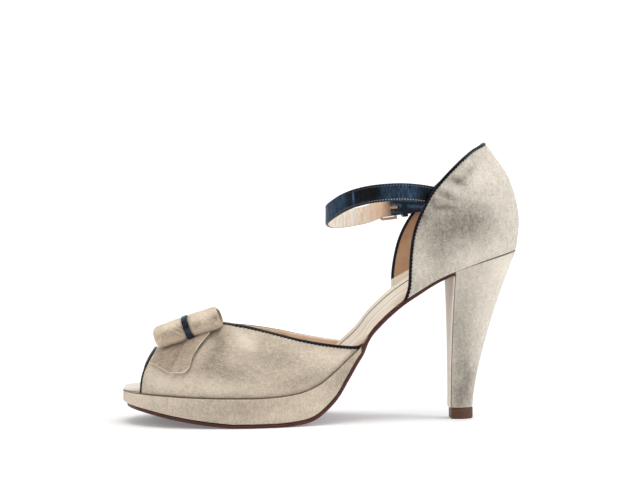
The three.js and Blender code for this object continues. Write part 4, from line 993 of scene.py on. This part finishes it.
# Painted light and shade on the heel: darker low at its front, lighter towards its back
HEEL_PAINTED_LIGHT = [
    (118, 80, 8, 9, 0, 0.1), (134, 70, 10, 22, 10, 0.12), (116, 50, 5, 20, 0, -0.12),
    (120, 24, 5, 16, 0, -0.34), (129, 44, 6, 20, 8, 0.08), (142, 86, 10, 8, 0, 0.22),
    (117, 12, 5, 7, 0, -0.28),
]
heel_suede = suede("heel suede", HEEL_PAINTED_LIGHT, (1.2, 1, 0.5), 0.45, 0.9, SUEDE_PALE, SUEDE_GREY, (1, 1, 0.3))
dress(heel, [heel_suede], "heel")

# Heel breast. Thin strip of pale leather glued over the seam on the heel's front, cut a little narrower
# than the front and pared at its edges. The sole covers its upper end.
breast_rings = []
for t in np.concatenate([[0.035], np.linspace(0.08, 1, 40)]):
    lateral_end, medial_end = heel_point(heel_edge, t), heel_point(-heel_edge, t)
    x, z = lateral_end[0] - GAP, lateral_end[2]
    face = x - BREAST_THICKNESS
    lateral, medial = lateral_end[1] - 0.4, medial_end[1] + 0.4
    corners = [(x, medial), (x, lateral), (face, lateral - 0.3), (face, medial + 0.3)]
    outline = rounded(corners, 0.4, 4)
    breast_rings.append(np.stack([outline[:, 0], outline[:, 1], z + 0 * outline[:, 0]], 1))
breast = body("breast_leather", breast_rings, crisp=55)
breast_leather, shader, place = material("breast leather", Specular_IOR_Level=0.4)
cloud = place.noise(0.09, 4.0, 0.6, (1, 1, 0.5))
pores = place.noise(1.8, 3.0, 0.7)
pale = (cloud * 0.8 + pores * 0.25).step(0.3, 0.85)
feed(
    shader,
    Base_Color=pale.mix((0.9, 0.8, 0.66, 1), (0.99, 0.93, 0.83, 1)),
    Roughness=cloud * 0.2 + 0.5,
    Normal=pores.bump(0.3, 0.0002),
)
dress(breast, [breast_leather], "heel_breast")

# Heel tip. Replaceable top piece pinned under the heel, trimmed flush and stained brown.
# Its foot is worn round.
TIP_SECTION = [
    # height, how far it stands out past the heel
    (0, -0.35), (0.12, -0.12), (0.5, 0.1), (1.6, 0.12), (3, 0.12), (5.6, 0.12), (6.05, 0.05), (6.2, -0.1),
]
foot = heel_ring(1.0)
tip_middle = tip_back - TIP_LENGTH / 2
tip_rings = []
for z, proud in TIP_SECTION:
    grow = 1 + proud / (TIP_LENGTH / 2)
    x, y = tip_middle + (foot[:, 0] - tip_middle) * grow, foot[:, 1] * grow
    tip_rings.append(np.stack([x, y, z + 0 * x], 1))
tip = body("top_piece", tip_rings, crisp=45)
top_piece, shader, place = material("top piece", Specular_IOR_Level=0.4)
layers = place.noise(0.5, 3.0, 0.6, (0.3, 0.3, 3))
pores = place.noise(1.5, 3.0, 0.7)
brown = (layers * 0.7 + pores * 0.3).step(0.3, 0.8)
feed(
    shader,
    Base_Color=brown.mix((0.07, 0.026, 0.014, 1), (0.19, 0.085, 0.045, 1)),
    Roughness=pores * 0.25 + 0.42,
    Normal=(layers * 0.6 + pores * 0.5).bump(0.35, 0.0004),
)
dress(tip, [top_piece], "heel_tip")

# Ankle strap. Navy patent strap lined with beige leather, its edges folded in and stitched, so that the
# face is raised between them. It starts inside the medial counter and buckles on the outer side.
STRAP_WIDTH, STRAP_THICKNESS, BUCKLE_WIRE, BUCKLE_LENGTH, FOLD_THICKNESS = 10, 1.6, 1.6, 10, 1.1
STRAP = [
    # place, share of BALL_WIDTH aside, share of SEAT_RISE up
    (0.804, -0.268, 1.575), (0.772, -0.272, 1.594), (0.737, -0.286, 1.609), (0.697, -0.298, 1.617),
    (0.652, -0.297, 1.612), (0.607, -0.264, 1.594), (0.567, -0.203, 1.56), (0.534, -0.11, 1.505),
    (0.516, 0.0, 1.452), (0.529, 0.103, 1.423), (0.563, 0.192, 1.422), (0.607, 0.256, 1.441),
    (0.627, 0.272, 1.453),
]
buckle_turn = Matrix.Rotation(math.radians(1), 4, "Z") @ Matrix.Rotation(math.radians(-7), 4, "Y")
buckle_place = Matrix.Translation((along(0.7), 0.309 * BALL_WIDTH, 1.505 * SEAT_RISE)) @ buckle_turn
bar = BUCKLE_WIRE / 2
fold_radius = bar + GAP + FOLD_THICKNESS
under_bar = bar + GAP + STRAP_THICKNESS / 2
over_fold = fold_radius + GAP + STRAP_THICKNESS / 2
BUCKLE_STRETCH = [
    # the rest of the way in the buckle's own frame: before it, under the bar, over the fold, to the end
    (-BUCKLE_LENGTH - 1.5, -under_bar - 0.4, -0.8), (-0.82 * BUCKLE_LENGTH, -under_bar - 0.35, 0),
    (-0.3 * BUCKLE_LENGTH, 0.66 * over_fold, 0), (0, over_fold + 0.2, 0), (6, over_fold + 0.1, 0),
    (14, over_fold, 0), (22, over_fold, 0),
]
strap_line = [Vector((along(at), aside * BALL_WIDTH, up * SEAT_RISE)) for at, aside, up in STRAP]
strap_line += [buckle_place @ Vector(spot) for spot in BUCKLE_STRETCH]


def centripetal(points, count):
    """Points at even distances along a centripetal curve through the given ones."""
    pts = [np.array(p, float) for p in points]
    pts = [2 * pts[0] - pts[1], *pts, 2 * pts[-1] - pts[-2]]
    made = []
    for i in range(1, len(pts) - 2):
        p0, p1, p2, p3 = pts[i - 1 : i + 3]
        d1, d2, d3 = (max(np.linalg.norm(b - a) ** 0.5, 1e-4) for a, b in ((p0, p1), (p1, p2), (p2, p3)))
        m1 = ((p1 - p0) / d1 - (p2 - p0) / (d1 + d2) + (p2 - p1) / d2) * d2
        m2 = ((p2 - p1) / d2 - (p3 - p1) / (d2 + d3) + (p3 - p2) / d3) * d2
        for t in np.linspace(0, 1, 60, endpoint=i == len(pts) - 3):
            a, b = 2 * t**3 - 3 * t**2 + 1, t**3 - 2 * t**2 + t
            made.append(a * p1 + b * m1 + (1 - a) * p2 + (t**3 - t**2) * m2)
    made = np.array(made)
    run = run_along(made)
    even = np.linspace(0, run[-1], count)
    return np.stack([np.interp(even, run, made[:, k]) for k in range(3)], 1)


def ribbon_profile(width, thick):
    """Section of a strap: across its thickness and along its width, from the lower edge up the outside."""
    half, flat = width / 2, thick / 2
    crown, groove = 0.12, 0.16
    across = np.linspace(-1, 1, 19)
    raised = flat + crown * np.minimum(1, (1 - np.abs(across)) * 4) ** 0.6
    raised = raised - groove * np.exp(-(((np.abs(across) - 0.82) / 0.05) ** 2))
    face = np.stack([raised, across * (half - 0.35)], 1)
    low_edge = [[flat * 0.2, -half], [flat * 0.75, -half + 0.1]]
    high_edge = [[flat * 0.75, half - 0.1], [flat * 0.2, half]]
    outside = np.concatenate([low_edge, face, high_edge])
    back = np.stack([-flat + 0 * across, -across * (half - 0.25)], 1)
    inside = np.concatenate([[[-flat * 0.5, half - 0.05]], back, [[-flat * 0.5, -half + 0.05]]])
    return np.concatenate([outside, inside]), len(outside)


SPOTS = 260
line = centripetal(strap_line, SPOTS)
ahead = np.gradient(line, axis=0)
ahead /= np.linalg.norm(ahead, axis=1)[:, None]
done = np.linspace(0, 1, SPOTS)
tilted = np.array(buckle_turn.to_3x3() @ Vector((0, 0, 1)))
standing = np.array([0, 0, 1.0]) + (tilted - np.array([0, 0, 1.0])) * smooth(done, 0.55, 0.7)[:, None]
outward = np.cross(standing, ahead)
outward /= np.linalg.norm(outward, axis=1)[:, None]
upward = np.cross(ahead, outward)
profile, outside_count = ribbon_profile(STRAP_WIDTH, STRAP_THICKNESS)
narrow = np.sqrt(np.clip((1 - done) / 0.03, 0.02, 1))
WRINKLES = [
    # share of the strap's length, depth
    (0.31, 0.16), (0.335, 0.1), (0.36, 0.14), (0.42, 0.08), (0.16, 0.1), (0.185, 0.09),
    (0.21, 0.12), (0.5, 0.1),
]
buckling = sum(size * np.exp(-(((done - spot) / 0.004) ** 2)) for spot, size in WRINKLES)
across, up = profile[None, :, 0:1], profile[None, :, 1:2]
strap_rings = line[:, None] + outward[:, None] * (across - buckling[:, None, None] * (across > 0))
strap_rings = strap_rings + upward[:, None] * up * narrow[:, None, None]
zones = [0] * outside_count + [1] * (len(profile) - outside_count)
zones[3] = zones[18] = 2  # the two rows of stitches
zones[-2:] = [0, 0]  # the folded lower edge is patent too
strap = body("strap_ankle", strap_rings, zones, crisp=45)
STRAP_SHEEN = [
    # x, z, reach along, reach across, lean, depth of blue light on the film
    (37, 117, 3.0, 12, 0, 1.1), (43, 119, 3.0, 12, 0, 0.45), (48.5, 124, 3.2, 12, 0, 0.4),
    (55, 126, 0.45, 4.5, 4, 1.6),
    (73, 128, 4, 12, 0, 0.3), (85, 128, 7, 12, 0, 0.45), (63, 127, 5, 9, 0, -0.25), (95, 126, 3, 9, 0, -0.2),
]
strap_patent = patent("strap patent", STRAP_SHEEN, 1.0, 0.22, 0.09)
THREAD_PITCH = 1.6
strap_thread, shader, place = material("strap thread", Specular_IOR_Level=0.3)
length, girth, _ = place.make("ShaderNodeTexCoord", out="UV").parts()
x, y, z = place.parts()
dashes = (length * (2 * math.pi / THREAD_PITCH)).maths("SINE").step(-0.6, 0.3)
upper_row = girth.step(3.0, 6.0)
# Painted highlight: the stitches show brighter towards the back of the strap
stitch_highlight = x.step(58.0, 78.0) * 0.65 + 0.35
thread = dashes * stitch_highlight * (1 - upper_row * 0.6)
feed(
    shader,
    Base_Color=thread.mix((0.004, 0.007, 0.014, 1), (0.32, 0.34, 0.38, 1)),
    Roughness=place.noise(0.8) * 0.2 + 0.4,
    Normal=dashes.bump(0.4, 0.0003),
)
strap_lining, shader, place = material("strap lining", Specular_IOR_Level=0.35)
x, y, z = place.parts()
waves = place.noise(0.42, 3.0, 0.55, (1, 1, 0.25), 1.2)
# The lining turns tan towards the back of the strap
tan_towards_back = x.step(52.0, 80.0) * 0.75
cream = waves.step(0.36, 0.56).mix((0.88, 0.69, 0.5, 1), (1.0, 0.97, 0.9, 1))
feed(
    shader,
    Base_Color=tan_towards_back.mix(cream, (0.8, 0.5, 0.3, 1)),
    Roughness=waves * 0.2 + 0.5,
    Normal=waves.bump(0.6, 0.0008),
)
dress(strap, [strap_patent, strap_lining, strap_thread], "ankle_strap")

# Buckle. Pressed brass frame with a prong, held in the folded end of a short patent strap; the free end
# of the ankle strap goes through a patent keeper behind it. Their solids keep the model's shape.
brass, shader, place = material("buckle metal", Metallic=1.0)
scratches = place.noise(2.5, 4.0, 0.6, (1, 1, 6))
cloud = place.noise(0.3, 2.0)
feed(
    shader,
    Base_Color=cloud.mix((0.78, 0.52, 0.36, 1), (0.9, 0.68, 0.5, 1)),
    Roughness=scratches * 0.2 + 0.12,
    Normal=scratches.bump(0.15, 0.0002),
)
FOLD_SHEEN = [(91, 120.6, 14, 0.8, -4, 1.5), (88, 116.6, 12, 0.6, -6, 0.5)]
for node, finish, width in (
    ("buckle", brass, 0.00045),
    ("buckle_prong", brass, 0.0003),
    ("buckle_strap", patent("fold patent", FOLD_SHEEN, 0.8, 0.3), 0.00025),
    ("strap_keeper", patent("keeper patent", (), 0.8, 0.4), 0.0003),
):
    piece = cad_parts[node]
    for i in range(len(piece.material_slots)):
        piece.material_slots[i].material = finish
    bevel = piece.modifiers.new("rounded", "BEVEL")
    bevel.width = width
    bevel.segments = 3
    bevel.angle_limit = math.radians(40)

# Bow roll. Strip of suede rolled into a flat tube with a loop open at each end and pinched by a band in
# the middle. Its cut ends curl in, and it is stitched to the vamp beside the ridge.
BOW_LENGTH, BOW_HEIGHT, BOW_DEPTH, BOW_WALL, BOW_PINCH = 38, 12.6, 13.6, 1.2, 0.9


def bow_point(at, aside, lift):
    return np.array([along(at), aside * BALL_WIDTH, lift * INSTEP_HEIGHT])


bow_start, bow_end = bow_point(0.087, -0.15, 1.056), bow_point(0.24, -0.21, 1.326)
bow_middle = (bow_start + bow_end) / 2
bow_along = (bow_end - bow_start) / np.linalg.norm(bow_end - bow_start)
bow_out = np.cross([0, 0, 1.0], bow_along)
bow_out /= np.linalg.norm(bow_out)
bow_up = np.cross(bow_along, bow_out)


def bow_spot(a, angle, grow, pinch):
    """Point of the roll's skin, a along it and at an angle round it, grown outwards and pinched."""
    a, angle = a + 0 * angle, angle + 0 * a
    across = (BOW_DEPTH / 2 + grow - pinch * 0.5) * np.cos(angle)
    tall = (BOW_HEIGHT / 2 + grow - pinch) * np.sin(angle)
    return bow_middle + a[..., None] * bow_along + across[..., None] * bow_out + tall[..., None] * bow_up


bow_angle = np.linspace(0, 2 * np.pi, 96, endpoint=False)[None, :]
bow_a = spread(-BOW_LENGTH / 2, BOW_LENGTH / 2, 90)[:, None] * (1 - 0.06 * np.sin(bow_angle) ** 4)
pinch = BOW_PINCH * np.exp(-((bow_a / 5) ** 2)) + 0 * bow_angle
PLEATS = [
    # angle round the roll, depth
    (0.4, 0.3), (1.3, 0.22), (2.2, 0.32), (2.9, 0.22), (3.7, 0.36), (4.3, 0.3), (5.1, 0.28), (5.8, 0.2),
]
pleat = 0
for turn, depth in PLEATS:
    off = (bow_angle - turn + np.pi) % (2 * np.pi) - np.pi
    pleat = pleat + depth * np.cos(np.clip(off / 0.3, -1, 1) * np.pi)
beside_band = np.exp(-(((np.abs(bow_a) - 3.2) / 4.2) ** 2)) * smooth(np.abs(bow_a), 1.5, 3.0)
pinch = pinch + pleat * 0.35 * beside_band
END_ROUNDING, END_CURL = 3.2, 0.8
from_end = BOW_LENGTH / 2 * (1 - np.abs(spread(-1, 1, 90)))[:, None] + 0 * bow_angle
from_end = np.minimum(from_end, END_ROUNDING)
curled = END_CURL * (1 - np.sqrt(np.clip(1 - (1 - from_end / END_ROUNDING) ** 2, 0, 1)))
bow_outer = bow_spot(bow_a, bow_angle, -curled, pinch)
bow_inner = bow_spot(bow_a, bow_angle, -BOW_WALL - curled * 0.6, pinch)
bow_rings = np.concatenate([bow_outer, bow_inner[::-1]], 0)
bow = body("bow_loops", bow_rings, closed=True, crisp=60)
# Painted light and shade on the roll: lighter on top, darker below and in the pleats beside the band
BOW_PAINTED_LIGHT = [
    (-32.6, 55, 3.5, 2, 20, -0.3), (-22, 60, 4, 2.2, 20, -0.28), (-51, 49.5, 4, 2.2, 15, -0.3),
    (-43.4, 52, 4, 2.2, 30, -0.26), (-29, 61, 9, 3, 20, 0.34), (-46, 56, 7, 3, 20, 0.26),
    (-42.6, 46.3, 6, 1.6, 22, 0.2), (-23, 54, 7, 1.8, 20, -0.06), (-55, 45, 3, 5, 0, 0.1),
    (-41, 54, 4, 0.5, -30, -0.3), (-42, 52, 4, 0.5, -26, -0.3), (-43, 50, 4, 0.5, -22, -0.25),
]
BOW_LIGHT, BOW_DARK = (0.94, 0.79, 0.62, 1), (0.22, 0.15, 0.1, 1)
bow_suede = suede("bow suede", BOW_PAINTED_LIGHT, (0.7, 1, 1), 0.8, 0.9, BOW_LIGHT, BOW_DARK, (0.3, 1, 0.5))
dress(bow, [bow_suede], "bow_roll")

# Bow band. Strip of navy patent leather wrapped round the middle of the roll and glued behind it.
# Its face swells between its edges, with a shallow crease along the middle.
BAND_WIDTH, BAND_THICKNESS = 3.4, 1.1
band_a = BAND_WIDTH * np.linspace(-0.5, 0.5, 15)[:, None]
crown = 0.25 * np.sqrt(np.clip(1 - (band_a / (BAND_WIDTH / 2)) ** 2, 0, 1))
crown = crown - 0.1 * np.exp(-((band_a / 0.35) ** 2))
band_outer = bow_spot(band_a, bow_angle, GAP + BAND_THICKNESS - 0.15 + crown, BOW_PINCH)
band_inner = bow_spot(band_a, bow_angle, GAP, BOW_PINCH)
band_rings = np.concatenate([band_outer, band_inner[::-1]], 0)
band = body("bow_band_patent", band_rings, closed=True, crisp=50)
BAND_SHEEN = [(-35, 48, 3, 4, 0, 0.35), (-40, 59.5, 1.2, 1.4, 0, 1.6)]
band_patent = patent("band patent", BAND_SHEEN, 1.2, 0.5, 0.05)
dress(band, [band_patent], "bow_band")

# Bow tails. Two cut pieces of the same suede under the roll, one lapped over the other, with their pale
# cut edges left raw and a painted highlight beside them. They lie on the vamp and are caught in the stitch that
# holds the roll.
TAIL_THICKNESS, TAIL_LIFT = 1.1, 0.35
TAILS = {
    # corners as place and turn on the vamp: two under the roll, then the two free ones
    "bow_tail_front": (TAIL_LIFT, [(0.112, 1.12), (0.17, 1.15), (0.117, 0.46), (0.066, 0.82)]),
    "bow_tail_back": (
        TAIL_LIFT + TAIL_THICKNESS + GAP,
        [(0.163, 1.1), (0.221, 1.05), (0.169, 0.415), (0.122, 0.44)],
    ),
}
TAIL_LINES = 56
TAIL_LIGHT, TAIL_DARK = (0.72, 0.58, 0.44, 1), (0.17, 0.12, 0.08, 1)
# One soft spot of painted shade darkens the tails below the roll. The raw cut edges are pale suede, and the
# face's last strip beside the free edge takes the same colour as a painted highlight.
tail_suede = suede("tail suede", [(-44, 40, 12, 6, 0, -0.16)], (1, 1, 1), 0.8, 1.3, TAIL_LIGHT, TAIL_DARK)
pale_edge_and_highlight = suede("cut edge", [], (1, 1, 1), 0.3, 0.6, (0.95, 0.85, 0.71, 1), (0.5, 0.41, 0.32, 1))
for node, (lift, (a, b, c, d)) in TAILS.items():
    s = np.linspace(0, 1, 40)[:, None]
    if node == "bow_tail_back":
        rounding, hollow = 0.2 * np.clip(2.4 * s - 1.4, 0, 1) ** 2.4, 0.014
    else:
        rounding, hollow = 0.1 * np.clip(1 - 2.4 * s, 0, 1) ** 2.4, 0
    t = np.linspace(0, 1, TAIL_LINES)[None, :] * (1 - rounding)
    at = (a[0] * (1 - s) + b[0] * s) * (1 - t) + (d[0] * (1 - s) + c[0] * s) * t
    turn = (a[1] * (1 - s) + b[1] * s) * (1 - t) + (d[1] * (1 - s) + c[1] * s) * t
    at = at - hollow * s * np.sin(np.pi * t)
    edge = smooth(np.minimum(np.minimum(s, 1 - s) * 11, (1 - t) * 20) + 0 * at, 0.5, 0.0)
    top = vamp_off(along(at), turn, lift + TAIL_THICKNESS - 0.25 * edge)
    low = vamp_off(along(at), turn, lift + 0.25 * edge)
    zones = [0] * (TAIL_LINES - 2) + [1] * 3 + [0] * (TAIL_LINES - 2) + [1]
    tail = body(node + "_suede", np.concatenate([top, low[:, ::-1]], 1), zones, crisp=60)
    dress(tail, [tail_suede, pale_edge_and_highlight], node)
